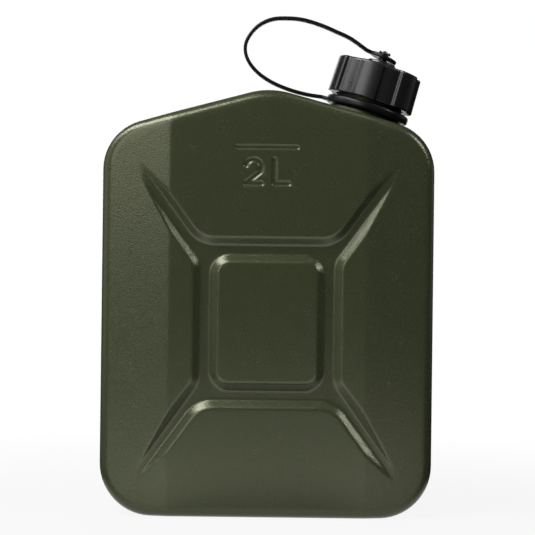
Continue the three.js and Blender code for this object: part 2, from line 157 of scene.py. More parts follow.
def rotated(vector: np.ndarray, angle: float) -> np.ndarray:
    """Turns a plane vector counter-clockwise.

    Args:
        vector: the vector.
        angle: the turn in radians.

    Returns:
        The turned vector.
    """
    cosine, sine = math.cos(angle), math.sin(angle)
    return np.array([cosine * vector[0] - sine * vector[1], sine * vector[0] + cosine * vector[1]])


@dataclass(frozen=True)
class Corner:
    """A corner of an outline and the radius that rounds it."""

    x: float
    z: float
    radius: float = 0.0


def rectangle(left: float, right: float, low: float, high: float, radius: float) -> list[Corner]:
    """The corners of a rounded rectangle, counter-clockwise from the lower left one.

    Args:
        left: its left side.
        right: its right side.
        low: its lower side.
        high: its upper side.
        radius: the radius that rounds each corner.

    Returns:
        The four corners.
    """
    return [Corner(x, z, radius) for x, z in ((left, low), (right, low), (right, high), (left, high))]


class Outline:
    """A path of straight stretches and rounded corners, as close points with normals to its right."""

    def __init__(self, corners: Sequence[Corner], spacing: float, closed: bool = True) -> None:
        """Rounds the corners and spaces points along the path.

        Args:
            corners: the corners in order, counter-clockwise for outward normals.
            spacing: the largest distance between neighbouring points.
            closed: whether the last corner joins the first one.
        """
        self.closed = closed
        points: list[np.ndarray] = []
        normals: list[np.ndarray] = []
        places = [np.array([corner.x, corner.z]) for corner in corners]
        last = len(corners) - 1
        for i, corner in enumerate(corners):
            if not closed and i in (0, last):
                along = places[i + 1] - places[i] if i == 0 else places[i] - places[i - 1]
                arc = [(places[i], rotated(along / np.linalg.norm(along), -QUARTER_TURN))]
            else:
                after = places[(i + 1) % len(places)]
                arc = self._arc(places[i - 1], places[i], after, corner.radius, spacing)
            if points:
                self._stretch(points, normals, arc[0][0], spacing)
            for point, normal in arc:
                points.append(point)
                normals.append(normal)
        if closed:
            self._stretch(points, normals, points[0], spacing)
        self.points = np.array(points)
        self.normals = np.array(normals)

    @staticmethod
    def _arc(
        before: np.ndarray, at: np.ndarray, after: np.ndarray, radius: float, spacing: float
    ) -> list[tuple[np.ndarray, np.ndarray]]:
        """Points and normals round one corner.

        Args:
            before: the corner before this one.
            at: this corner.
            after: the corner after this one.
            radius: the rounding radius.
            spacing: the largest distance between neighbouring points.

        Returns:
            Pairs of a point and its normal.
        """
        arriving = (at - before) / np.linalg.norm(at - before)
        leaving = (after - at) / np.linalg.norm(after - at)
        turn = math.atan2(arriving[0] * leaving[1] - arriving[1] * leaving[0], arriving @ leaving)
        normal = rotated(arriving, -QUARTER_TURN)
        if radius == 0 or abs(turn) < TINY:
            return [(at, rotated(normal, turn / 2))]
        side = math.copysign(radius, turn)
        centre = at - arriving * radius * math.tan(abs(turn) / 2) - normal * side
        steps = max(LEAST_ARC_STEPS, math.ceil(radius * abs(turn) / spacing))
        facings = [rotated(normal, turn * step / steps) for step in range(steps + 1)]
        return [(centre + facing * side, facing) for facing in facings]

    @staticmethod
    def _stretch(
        points: list[np.ndarray], normals: list[np.ndarray], end: np.ndarray, spacing: float
    ) -> None:
        """Adds the inner points of the straight stretch from the last point.

        Args:
            points: the path's points so far.
            normals: their normals.
            end: where the stretch ends.
            spacing: the largest distance between neighbouring points.
        """
        start = points[-1]
        run = end - start
        length = float(np.linalg.norm(run))
        steps = math.ceil(length / spacing - TINY)
        for step in range(1, steps):
            points.append(start + run * step / steps)
            normals.append(rotated(run / length, -QUARTER_TURN))

    def inset(self, distance: float) -> np.ndarray:
        """The outline drawn in.

        Args:
            distance: how far it is drawn in; below zero it grows.

        Returns:
            One place for each point of the outline.
        """
        return self.points - self.normals * distance

    def distance(self, places: np.ndarray, batch: int = 1500) -> np.ndarray:
        """The distance of places from the path, below zero inside a closed one.

        Args:
            places: the places, one in each row.
            batch: how many places are worked out at a time.

        Returns:
            The distance of each place.
        """
        starts = self.points if self.closed else self.points[:-1]
        ends = np.roll(self.points, -1, axis=0) if self.closed else self.points[1:]
        runs = ends - starts
        lengths = np.maximum((runs**2).sum(axis=1), NO_LENGTH)
        found = []
        for begin in range(0, len(places), batch):
            some = places[begin : begin + batch]
            offset = some[:, None, :] - starts[None]
            share = np.clip((offset * runs).sum(axis=2) / lengths, 0.0, 1.0)
            gap = offset - share[..., None] * runs
            near = np.sqrt((gap**2).sum(axis=2).min(axis=1))
            if self.closed:
                height = some[:, None, 1]
                spans = (starts[:, 1] > height) != (ends[:, 1] > height)
                rise = np.where(np.abs(runs[:, 1]) < NO_LENGTH, NO_LENGTH, runs[:, 1])
                crossing = starts[:, 0] + (height - starts[:, 1]) * runs[:, 0] / rise
                inside = (spans & (some[:, None, 0] < crossing)).sum(axis=1) % 2 == 1
                near = np.where(inside, -near, near)
            found.append(near)
        return np.concatenate(found)


class Scatter:
    """Places on a face that keep their distance from each other."""

    CELL = 2.0
    OPEN_CLEARANCE = 1.8

    def __init__(self) -> None:
        """Starts with no places."""
        self.places: list[tuple[float, float]] = []
        self._cells: dict[tuple[int, int], list[tuple[float, float]]] = defaultdict(list)

    def add(self, places: Iterable[Sequence[float]], clearance: float) -> None:
        """Takes the places that are clear of all earlier ones.

        Args:
            places: the offered places.
            clearance: the least distance from an earlier place, up to the cell size.
        """
        for x, z in places:
            column, row = math.floor(x / self.CELL), math.floor(z / self.CELL)
            around = [(column + i, row + j) for i in (-1, 0, 1) for j in (-1, 0, 1)]
            near = (math.hypot(x - u, z - v) for cell in around for u, v in self._cells.get(cell, ()))
            if all(gap >= clearance for gap in near):
                self.places.append((x, z))
                self._cells[(column, row)].append((x, z))


class Draft:
    """Points in millimetres and faces that become one mesh object."""

    def __init__(self) -> None:
        """Starts empty."""
        self.points: list[tuple[float, float, float]] = []
        self.faces: list[tuple[int, ...]] = []

    def ring(self, points: Iterable[Sequence[float]]) -> list[int]:
        """Adds a row of points.

        Args:
            points: the places of the points.

        Returns:
            The points' numbers.
        """
        start = len(self.points)
        self.points.extend((float(x), float(y), float(z)) for x, y, z in points)
        return list(range(start, len(self.points)))

    def bridge(self, lower: Sequence[int], upper: Sequence[int]) -> None:
        """Joins two closed rows of equal length by quads.

        Args:
            lower: the point numbers of one row.
            upper: the point numbers of the other row.
        """
        count = len(lower)
        for i in range(count):
            j = (i + 1) % count
            self.faces.append((lower[i], lower[j], upper[j], upper[i]))

    def skin(self, rings: Sequence[Sequence[int]]) -> None:
        """Joins closed rows one after another.

        Args:
            rings: the point numbers of each row.
        """
        for lower, upper in zip(rings, rings[1:]):
            self.bridge(lower, upper)

    def tube(self, rings: Sequence[Sequence[int]]) -> None:
        """Joins closed rows one after another, with flat ends.

        Args:
            rings: the point numbers of each row.
        """
        self.skin(rings)
        self.faces.append(tuple(reversed(rings[0])))
        self.faces.append(tuple(rings[-1]))

    def revolve(
        self,
        profile: np.ndarray,
        angles: np.ndarray,
        closed: bool,
        shift: Callable[[float, float, np.ndarray], np.ndarray] | None = None,
    ) -> None:
        """Turns a profile of radius and height about the upright axis.

        Args:
            profile: the profile's radius and height, one point in each row.
            angles: the angles of the columns round the axis.
            closed: whether the profile closes on itself; an open one starts and ends on the axis.
            shift: gives the change of radius at a radius, a height and the column angles.
        """
        rings = []
        count = len(angles)
        for radius, height in profile if closed else profile[1:-1]:
            reach = radius + (shift(radius, height, angles) if shift else np.zeros(count))
            turned = zip(reach * np.cos(angles), reach * np.sin(angles), np.full(count, height))
            rings.append(self.ring(turned))
        self.skin(rings)
        if closed:
            self.bridge(rings[-1], rings[0])
            return
        for ring, height in ((rings[0], profile[0][1]), (rings[-1], profile[-1][1])):
            pole = self.ring([(0, 0, height)])[0]
            for i, point in enumerate(ring):
                self.faces.append((point, ring[(i + 1) % count], pole))

    def build(self, name: str, place: Matrix | None = None) -> bpy.types.Object:
        """Makes the mesh object, with all faces turned outwards and smooth but for sharp edges.

        Args:
            name: the object's name.
            place: the frame in which the points are given.

        Returns:
            The object, in the scene.
        """
        mesh = bpy.data.meshes.new(name)
        mesh.from_pydata([Vector(point) * MM for point in self.points], [], self.faces)
        if place is not None:
            mesh.transform(place)
        finish_mesh(mesh)
        made = bpy.data.objects.new(name, mesh)
        bpy.context.scene.collection.objects.link(made)
        return made


def finish_mesh(mesh: bpy.types.Mesh) -> None:
    """Turns a mesh's faces outwards and shades it smooth but for sharp edges.

    Args:
        mesh: the mesh.
    """
    work = bmesh.new()
    work.from_mesh(mesh)
    bmesh.ops.recalc_face_normals(work, faces=work.faces)
    work.to_mesh(mesh)
    work.free()
    mesh.polygons.foreach_set("use_smooth", [True] * len(mesh.polygons))
    mesh.set_sharp_from_angle(angle=SHARP_ANGLE)


def columns(count: int) -> np.ndarray:
    """Even angles round a full turn.

    Args:
        count: how many angles.

    Returns:
        The angles in radians.
    """
    return np.arange(count) * FULL_TURN / count


class Value:
    """A shader output that sums and scales like a number, by making Math nodes."""

    def __init__(self, graph: "Graph", socket: bpy.types.NodeSocket) -> None:
        """Wraps an output.

        Args:
            graph: the graph that the output belongs to.
            socket: the output.
        """
        self.graph = graph
        self.socket = socket

    def _math(self, operation: str, first: "Value | float", second: "Value | float") -> "Value":
        """Joins two numbers or outputs by one Math node."""
        return self.graph.node("Math", {"operation": operation}, {0: first, 1: second})

    def __add__(self, other: "Value | float") -> "Value":
        """The sum with another value."""
        return self._math("ADD", self, other)

    def __radd__(self, other: float) -> "Value":
        """The sum with a number before it."""
        return self._math("ADD", other, self)

    def __sub__(self, other: "Value | float") -> "Value":
        """The value less another one."""
        return self._math("SUBTRACT", self, other)

    def __rsub__(self, other: float) -> "Value":
        """A number less the value."""
        return self._math("SUBTRACT", other, self)

    def __mul__(self, other: "Value | float") -> "Value":
        """The product with another value."""
        return self._math("MULTIPLY", self, other)

    def __rmul__(self, other: float) -> "Value":
        """The product with a number before it."""
        return self._math("MULTIPLY", other, self)


class Graph:
    """The node tree of a material or world."""

    def __init__(self, owner: bpy.types.Material | bpy.types.World) -> None:
        """Empties the owner's tree.

        Args:
            owner: the material or world.
        """
        owner.use_nodes = True
        self.tree = owner.node_tree
        self.tree.nodes.clear()

    def node(
        self,
        kind: str,
        settings: dict[str, Setting] | None = None,
        inputs: dict[str | int, object] | None = None,
        output: str | int = 0,
    ) -> Value:
        """Makes one node.

        Args:
            kind: the node's type without its prefix.
            settings: the node's own settings, which are set first.
            inputs: values or shader outputs for its inputs.
            output: the output that is returned.

        Returns:
            The chosen output.
        """
        made = self.tree.nodes.new("ShaderNode" + kind)
        for name, setting in (settings or {}).items():
            setattr(made, name, setting)
        for key, given in (inputs or {}).items():
            if isinstance(given, Value):
                self.tree.links.new(given.socket, made.inputs[key])
            else:
                made.inputs[key].default_value = given
        return Value(self, made.outputs[output]) if made.outputs else Value(self, made.inputs[0])

    def noise(self, grain: float, detail: float = 2.0) -> Value:
        """Noise fixed to the object.

        Args:
            grain: the size of its blotches in millimetres.
            detail: how many finer layers it has.

        Returns:
            A value about one half.
        """
        place = self.node("TexCoord", output="Object")
        return self.node("TexNoise", inputs={"Vector": place, "Scale": 1 / (grain * MM), "Detail": detail})

    def fall_off(self, value: Value, reach: tuple[float, float], near: float, far: float) -> Value:
        """Eases from one level to another as a value grows.

        Args:
            value: the value, such as a distance.
            reach: where the ease starts and ends.
            near: the level up to its start.
            far: the level from its end on.

        Returns:
            The level.
        """
        limits = {"Value": value, 1: reach[0], 2: reach[1], 3: near, 4: far}
        return self.node("MapRange", {"interpolation_type": "SMOOTHSTEP"}, limits)

    def surface(self, shader: Value, kind: str = "Material") -> None:
        """Connects the shader to the tree's end.

        Args:
            shader: the finished shader.
            kind: the end's type, Material or World.
        """
        self.node("Output" + kind, inputs={"Surface": shader})


@dataclass(frozen=True)
class Finish:
    """A painted or moulded surface: colour, sheen and two sizes of grain in millimetres."""

    name: str
    slot: Slot
    color: Color
    roughness: float
    roughness_spread: float
    shade_spread: float
    grain: float
    grain_height: float
    fine_grain: float
    fine_height: float
    blotch: float
    blotch_detail: float = 3.0
    speckle: float = 0.2
    sheen_tint: Color = (1.0, 1.0, 1.0)

    def material(self) -> bpy.types.Material:
        """The finish as a material, made once.

        Returns:
            The material.
        """
        known = bpy.data.materials.get(self.name)
        if known is not None:
            return known
        made = bpy.data.materials.new(self.name)
        graph = Graph(made)
        blotches = graph.noise(self.blotch, self.blotch_detail) - 0.5
        coarse = graph.noise(self.grain)
        fine = graph.noise(self.fine_grain)
        speckles = coarse - 0.5
        shade = 1 + blotches * self.shade_spread + speckles * self.speckle
        tint = graph.node(
            "Mix",
            {"data_type": "RGBA", "blend_type": "MULTIPLY"},
            {"Factor": 1.0, 6: (*self.color, 1.0), 7: shade},
            output=2,
        )
        relief = coarse * self.grain_height + fine * self.fine_height
        normal = graph.node("Bump", inputs={"Strength": 1.0, "Distance": MM, "Height": relief})
        sheen = self.roughness + speckles * self.roughness_spread + blotches * self.roughness_spread
        shader = graph.node(
            "BsdfPrincipled",
            inputs={
                "Base Color": tint,
                "Roughness": sheen,
                "Specular Tint": (*self.sheen_tint, 1.0),
                "Normal": normal,
            },
        )
        graph.surface(shader)
        return made

    def dress(self, piece: bpy.types.Object) -> None:
        """Gives a piece this finish.

        Args:
            piece: the piece.
        """
        piece.data.materials.clear()
        piece.data.materials.append(self.material())


POWDER_COAT = Finish(
    name="olive_powder_coat",
    slot=Slot.PAINT,
    color=(0.0318, 0.0374, 0.0182),
    sheen_tint=(0.97, 1.0, 0.73),
    roughness=0.25,
    roughness_spread=0.08,
    shade_spread=0.08,
    grain=0.75,
    grain_height=0.065,
    fine_grain=0.38,
    fine_height=0.046,
    blotch=9.0,
    speckle=1.0,
)
# Painted shade: a much darker copy of the olive coat for the neck, standing in for the shade under the cap
# and ring.
SHADED_NECK_COAT = replace(
    POWDER_COAT,
    name="neck_coat_painted_shade",
    color=(0.009, 0.0105, 0.0058),
    roughness=0.42,
    roughness_spread=0.1,
    shade_spread=0.12,
    grain=0.8,
    grain_height=0.04,
    fine_height=0.02,
    blotch=6.0,
    speckle=0.2,
)
BLACK_MOULDING = Finish(
    name="satin_black_moulding",
    slot=Slot.MOULDING,
    color=(0.007, 0.007, 0.0072),
    roughness=0.3,
    roughness_spread=0.14,
    shade_spread=0.2,
    grain=0.7,
    grain_height=0.015,
    fine_grain=0.25,
    fine_height=0.006,
    blotch=6.0,
)
TETHER_MOULDING = replace(
    BLACK_MOULDING,
    name="matt_black_tether",
    color=(0.0045, 0.0045, 0.0047),
    sheen_tint=(0.4, 0.4, 0.4),
    roughness=0.34,
    roughness_spread=0.12,
)
BLACK_RUBBER = Finish(
    name="matt_black_rubber",
    slot=Slot.RUBBER,
    color=(0.010, 0.010, 0.010),
    roughness=0.75,
    roughness_spread=0.1,
    shade_spread=0.3,
    grain=0.6,
    grain_height=0.02,
    fine_grain=0.2,
    fine_height=0.01,
    blotch=5.0,
)


def settle(piece: bpy.types.Object, body: Body, finish: Finish, *nodes: str) -> None:
    """Dresses a piece, lets it ride on a body and hides the CAD nodes that it stands for.

    Args:
        piece: the piece, in its place.
        body: the body that it moves with.
        finish: its finish.
        nodes: the CAD nodes that it replaces.
    """
    finish.dress(piece)
    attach(piece, body.value)
    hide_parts(*nodes)
    log.info("%s made", piece.name)


def neck_place() -> Matrix:
    """The filler neck's frame: origin on the roof, upright along the cap's screw axis.

    Returns:
        The frame as a matrix in metres.
    """
    screw = next(joint for joint in frame["joints"] if joint["name"] == "cap_turn")
    up = Vector(screw["axis"]).normalized()
    deep = Vector((0, 1, 0))
    along = deep.cross(up)
    return Matrix.Translation(Vector(screw["pos_m"])) @ Matrix((along, deep, up)).transposed().to_4x4()


@dataclass
class Gable:
    """The can's outline from the front, and the edge treatment that both shells and the weld share."""

    width: float = 168.0
    shoulder_height: float = 193.9
    roof_slope: float = math.radians(15)
    base_corner_radius: float = 26.0
    shoulder_radius: float = 25.0
    ridge_radius: float = 39.0
    rim_recess: float = 1.4
    neck_hole_radius: float = 17.3

    def outline(self, spacing: float) -> Outline:
        """The rounded gable.

        Args:
            spacing: the largest distance between neighbouring points.

        Returns:
            The outline, counter-clockwise from the front.
        """
        half = self.width / 2
        apex = self.shoulder_height + half * math.tan(self.roof_slope)
        return Outline(
            [
                Corner(-half, 0, self.base_corner_radius),
                Corner(half, 0, self.base_corner_radius),
                Corner(half, self.shoulder_height, self.shoulder_radius),
                Corner(0, apex, self.ridge_radius),
                Corner(-half, self.shoulder_height, self.shoulder_radius),
            ],
            spacing,
        )


@dataclass
class CrossPressing:
    """The cross pressed into a face: a corridor round a raised island, with four arms that run out."""

    middle_height: float = 98.0
    depth: float = 3.0
    wall_run: float = 4.0
    island_width: float = 57.8
    island_height: float = 68.4
    island_radius: float = 10.0
    corridor_width: float = 4.7
    arm_angle: float = math.radians(53.8)
    arm_floor_width: float = 3.6
    arm_crosses: tuple[float, float] = (34.4, 34.7)
    upper_radius: float = 17.0
    lower_radius: float = 12.0
    arm_end: float = 71.4
    foot_softness: float = 0.3
    spacing: float = 1.3
    wall_steps: tuple[float, ...] = (-1.3, -0.7, -0.2, 0.3, 0.8, 1.5, 2.3, 3.0, 3.5, 4.0, 4.5, 5.1, 5.9)
    line_tolerance: float = 0.1

    def floor(self) -> Outline:
        """The outline of the cross's floor.

        Returns:
            The outline, in the face's own place.
        """
        corridor_x = self.island_width / 2 + self.corridor_width
        corridor_z = self.island_height / 2 + self.corridor_width
        rise = math.tan(self.arm_angle)
        half_across = self.arm_floor_width / 2 / math.cos(self.arm_angle)
        middle_x, middle_z = self.arm_crosses

        def arm_edge(x: float, side: int) -> float:
            """The height of an arm's lower (-1) or upper (1) edge."""
            return middle_z + side * half_across + (x - middle_x) * rise

        upper_bend = middle_x + (corridor_z - middle_z - half_across) / rise
        quarter = [
            Corner(corridor_x, arm_edge(corridor_x, -1), self.lower_radius),
            Corner(self.arm_end, arm_edge(self.arm_end, -1)),
            Corner(self.arm_end, arm_edge(self.arm_end, 1)),
            Corner(upper_bend, corridor_z, self.upper_radius),
        ]
        corners: list[Corner] = []
        for side_x, side_z in ((1, 1), (-1, 1), (-1, -1), (1, -1)):
            turned = [Corner(side_x * c.x, self.middle_height + side_z * c.z, c.radius) for c in quarter]
            corners.extend(turned if side_x * side_z > 0 else reversed(turned))
        return Outline(corners, self.spacing)

    def island(self) -> Outline:
        """The outline of the island's foot.

        Returns:
            The outline, in the face's own place.
        """
        x, z = self.island_width / 2, self.island_height / 2
        low, high = self.middle_height - z, self.middle_height + z
        return Outline(rectangle(-x, x, low, high, self.island_radius), self.spacing)

    def distance(self, places: np.ndarray) -> np.ndarray:
        """How far places stand outside the floor.

        Args:
            places: places on the face.

        Returns:
            The distance from the floor, below zero on it.
        """
        return np.maximum(self.floor().distance(places), -self.island().distance(places))

    def places(self) -> np.ndarray:
        """Places along the walls, in lines that follow the outlines.

        Returns:
            The places, one in each row.
        """
        lines = []
        for outline, side in ((self.floor(), 1), (self.island(), -1)):
            for step in self.wall_steps:
                line = outline.inset(-side * step)
                lines.append(line[np.abs(self.distance(line) - step) < self.line_tolerance])
        return np.concatenate(lines)


@dataclass
class FillMark:
    """The fill line and the plain capacity figure below it, pressed into the front."""

    bar_height: float = 186.0
    bar_length: float = 32.0
    bar_width: float = 2.1
    middle: float = -0.85
    figure_height: float = 173.8
    figure_size: tuple[float, float] = (23.9, 14.4)
    numeral_width: float = 10.3
    letter_width: float = 9.5
    stroke: float = 2.4
    # The numeral's bow: its first angle, the end of its range and the step.
    bow_degrees: tuple[int, int, int] = (165, -51, -12)
    depth: float = 0.65
    wall_run: float = 0.9
    grain: float = 0.42

    def lines(self) -> list[tuple[Outline, float]]:
        """The centre lines of the strokes and half their widths.

        Returns:
            Pairs of a line and its half width.
        """
        half = self.stroke / 2
        width, height = self.figure_size
        low = self.figure_height - height / 2 + half
        high = self.figure_height + height / 2 - half
        left = self.middle - width / 2 + half
        right = left + self.numeral_width - self.stroke
        radius = (right - left) / 2
        numeral = []
        for angle in map(math.radians, range(*self.bow_degrees)):
            across, up = radius * math.cos(angle), radius * math.sin(angle)
            numeral.append(Corner(left + radius + across, high - radius + up))
        numeral += [Corner(left, low), Corner(right, low)]
        end = self.middle + width / 2
        stem = end - self.letter_width + half
        letter = [Corner(stem, high), Corner(stem, low), Corner(end - half, low)]
        reach = (self.bar_length - self.bar_width) / 2
        bar = [Corner(self.middle - reach, self.bar_height), Corner(self.middle + reach, self.bar_height)]
        return [
            (Outline(bar, self.bar_length, closed=False), self.bar_width / 2),
            (Outline(numeral, width, closed=False), half),
            (Outline(letter, width, closed=False), half),
        ]

    def gap(self, places: np.ndarray) -> np.ndarray:
        """How far places stand outside the nearest stroke.

        Args:
            places: places on the face.

        Returns:
            The distance from a stroke's edge, below zero on it.
        """
        return np.min([line.distance(places) - half for line, half in self.lines()], axis=0)

    def sink(self, places: np.ndarray) -> np.ndarray:
        """How deep the marks are pressed in.

        Args:
            places: places on the face.

        Returns:
            The depth at each place.
        """
        return self.depth * smooth_step(0.5 - self.gap(places) / self.wall_run)

    def places(self) -> np.ndarray:
        """Close places on and beside the strokes.

        Returns:
            The places, one in each row.
        """
        width, height = self.figure_size
        reach = self.bar_length / 2 + self.bar_width
        low = self.figure_height - height
        top = self.bar_height + height / 2
        field_places = hex_grid(self.middle - reach, self.middle + reach, low, top, self.grain)
        return field_places[np.abs(self.gap(field_places)) < self.wall_run]


def hex_grid(left: float, right: float, low: float, high: float, spacing: float) -> np.ndarray:
    """Evenly staggered places in a rectangle.

    Args:
        left: the rectangle's left side.
        right: its right side.
        low: its lower side.
        high: its upper side.
        spacing: the distance between neighbours.

    Returns:
        The places, one in each row.
    """
    rows = np.arange(low, high, spacing * math.sqrt(3) / 2)
    across = np.arange(left, right, spacing)
    return np.array([(x + spacing / 2 * (i % 2), z) for i, z in enumerate(rows) for x in across])


@dataclass
class PressedShell:
    """One half of the can: a pressed sheet with rounded edges, three facets and the cross."""

    side: Side
    gable: Gable = field(default_factory=Gable)
    cross: CrossPressing = field(default_factory=CrossPressing)
    mark: FillMark | None = None
    depth: float = 36.0
    sheet: float = 1.0
    edge_fillet: float = 5.0
    crease: float = 49.5
    facet_angle: float = math.radians(12.2)
    crease_softness: float = 0.35
    brow_softness: float = 0.22
    rim_gap: float = 0.15
    recess_edge: float = 4.5
    recess_ramp: float = 1.6
    rim_spacing: float = 3.0
    face_spacing: float = 4.0
    fillet_steps: int = 8
    ramp_shares: tuple[float, ...] = (0.0, 0.12, 0.3, 0.5, 0.7, 0.88, 1.0)
    crease_offsets: tuple[float, ...] = (-2.6, -1.3, -0.6, 0.0, 0.6, 1.3, 2.6)
    crease_stretch: float = 1.5
    fine_clearance: float = 0.3
    plain_clearance: float = 1.2
    edge_clearance: float = 0.8
    face_tolerance: float = 1e-7
    hole_reach: float = 6.0

    def facet_depth(self, x: np.ndarray) -> np.ndarray:
        """How far the bare facets stand from the rim's plane.

        Args:
            x: distances from the middle.

        Returns:
            The depth of each.
        """
        past_crease = soft_plus(np.abs(x) - self.crease, self.crease_softness)
        return self.depth - math.tan(self.facet_angle) * past_crease

    def face_depth(self, places: np.ndarray) -> np.ndarray:
        """How far the pressed face stands from the rim's plane.

        Args:
            places: places on the face.

        Returns:
            The depth at each place.
        """
        slope = self.cross.depth / self.cross.wall_run
        wall = soft_plus(self.cross.distance(places), self.cross.foot_softness)
        floor = self.depth - self.cross.depth + slope * wall
        pressed = soft_min(self.facet_depth(places[:, 0]), floor, self.brow_softness)
        return pressed - self.mark.sink(places) if self.mark else pressed

    def _rings(self, draft: Draft, outline: Outline, inset: float) -> list[list[int]]:
        """The rows of the rim, the wall and the rounded edge.

        Args:
            draft: the draft that takes the points.
            outline: the can's outline.
            inset: how far the surface lies inside the outer one.

        Returns:
            The rows from the rim to the face.
        """

        def ring(drawn_in: float, depth: Callable[[np.ndarray], np.ndarray]) -> list[int]:
            """Adds one row of points at a depth that may change with x."""
            flat = outline.inset(drawn_in)
            stand = self.side.value * depth(flat[:, 0])
            return draft.ring(zip(flat[:, 0], stand, flat[:, 1]))

        def level(depth: float) -> Callable[[np.ndarray], np.ndarray]:
            """A depth that is the same for every x."""
            return lambda x: np.full(len(x), depth)

        rings = [ring(inset + self.gable.rim_recess, level(self.rim_gap))]
        for share in self.ramp_shares:
            drawn_in = inset + self.gable.rim_recess * (1 - float(smooth_step(share)))
            rings.append(ring(drawn_in, level(self.recess_edge + self.recess_ramp * share)))
        radius = self.edge_fillet - inset
        for step in range(self.fillet_steps + 1):
            angle = step / self.fillet_steps * QUARTER_TURN
            back = inset + radius * (1 - math.sin(angle))
            rings.append(ring(inset + radius * (1 - math.cos(angle)), lambda x: self.facet_depth(x) - back))
        return rings

    def _face(self, draft: Draft, boundary: list[int], places: np.ndarray, inset: float) -> None:
        """Fills the face inside its boundary row.

        Args:
            draft: the draft that takes the points.
            boundary: the last row of the rounded edge.
            places: places inside the boundary.
            inset: how far the surface lies inside the outer one.
        """
        stand = self.side.value * (self.face_depth(places) - inset)
        inner = draft.ring(zip(places[:, 0], stand, places[:, 1]))
        edge = [Vector((draft.points[i][0], draft.points[i][2])) for i in boundary]
        flat = edge + [Vector(place) for place in places]
        numbers = [*boundary, *inner]
        filled = delaunay_2d_cdt(flat, [], [list(range(len(edge)))], 1, self.face_tolerance)
        triangles, origins = filled[2:4]
        for triangle in triangles:
            draft.faces.append(tuple(numbers[origins[corner][0]] for corner in triangle))

    def _places(self, outline: Outline, spacing: float, fine: bool) -> np.ndarray:
        """Places on the face, closer together where it bends.

        Args:
            outline: the can's outline.
            spacing: the distance between places on the flat stretches.
            fine: whether walls, creases and marks get their own places.

        Returns:
            The places, one in each row.
        """
        half, top = self.gable.width / 2, outline.points[:, 1].max()
        scatter = Scatter()
        if fine:
            if self.mark:
                scatter.add(self.mark.places(), self.mark.grain / 2)
            heights = np.arange(0, top, self.cross.spacing * self.crease_stretch)
            for offset in self.crease_offsets:
                for crease in (-self.crease, self.crease):
                    line = np.column_stack([np.full(len(heights), crease + offset), heights])
                    scatter.add(line, self.fine_clearance)
        scatter.add(self.cross.places(), self.fine_clearance if fine else self.plain_clearance)
        scatter.add(hex_grid(-half, half, 0, top, spacing), Scatter.OPEN_CLEARANCE)
        places = np.array(scatter.places)
        return places[outline.distance(places) < -self.edge_fillet - self.edge_clearance]

    def build(self) -> bpy.types.Object:
        """Models the half shell as a closed sheet with the neck's hole.

        Returns:
            The shell.
        """
        outline = self.gable.outline(self.rim_spacing)
        draft = Draft()
        outer = self._rings(draft, outline, 0.0)
        inner = self._rings(draft, outline, self.sheet)
        draft.skin(outer)
        draft.skin(inner)
        draft.bridge(outer[0], inner[0])
        self._face(draft, outer[-1], self._places(outline, self.face_spacing, fine=True), 0.0)
        self._face(draft, inner[-1], self._places(outline, 2 * self.face_spacing, fine=False), self.sheet)
        shell = draft.build(f"{self.side.name.lower()}_shell_pressing")
        cut_round_hole(shell, neck_place(), self.gable.neck_hole_radius, self.hole_reach)
        return shell

    def dress(self, shell: bpy.types.Object) -> None:
        """Paints the shell and ties it to the can.

        Args:
            shell: the shell.
        """
        settle(shell, Body.CAN, POWDER_COAT, f"{self.side.name.lower()}_shell")


def cut_round_hole(piece: bpy.types.Object, place: Matrix, radius: float, reach: float) -> None:
    """Cuts a round hole through a closed mesh.

    Args:
        piece: the mesh object.
        place: the hole's frame.
        radius: the hole's radius.
        reach: how far the hole runs along its axis to both sides.
    """
    draft = Draft()
    turn = columns(HOLE_COLUMNS)
    ends = [
        draft.ring(zip(radius * np.cos(turn), radius * np.sin(turn), np.full(len(turn), height)))
        for height in (-reach, reach)
    ]
    draft.tube(ends)
    drill = draft.build("drill", place)
    cut = piece.modifiers.new("hole", "BOOLEAN")
    cut.object = drill
    cut.operation = "DIFFERENCE"
    cut.solver = "EXACT"
    bpy.context.view_layer.update()
    result = bpy.data.meshes.new_from_object(piece.evaluated_get(bpy.context.evaluated_depsgraph_get()))
    piece.modifiers.clear()
    plain = piece.data
    piece.data = result
    result.name = piece.name
    bpy.data.meshes.remove(plain)
    bpy.data.meshes.remove(drill.data)
    finish_mesh(result)


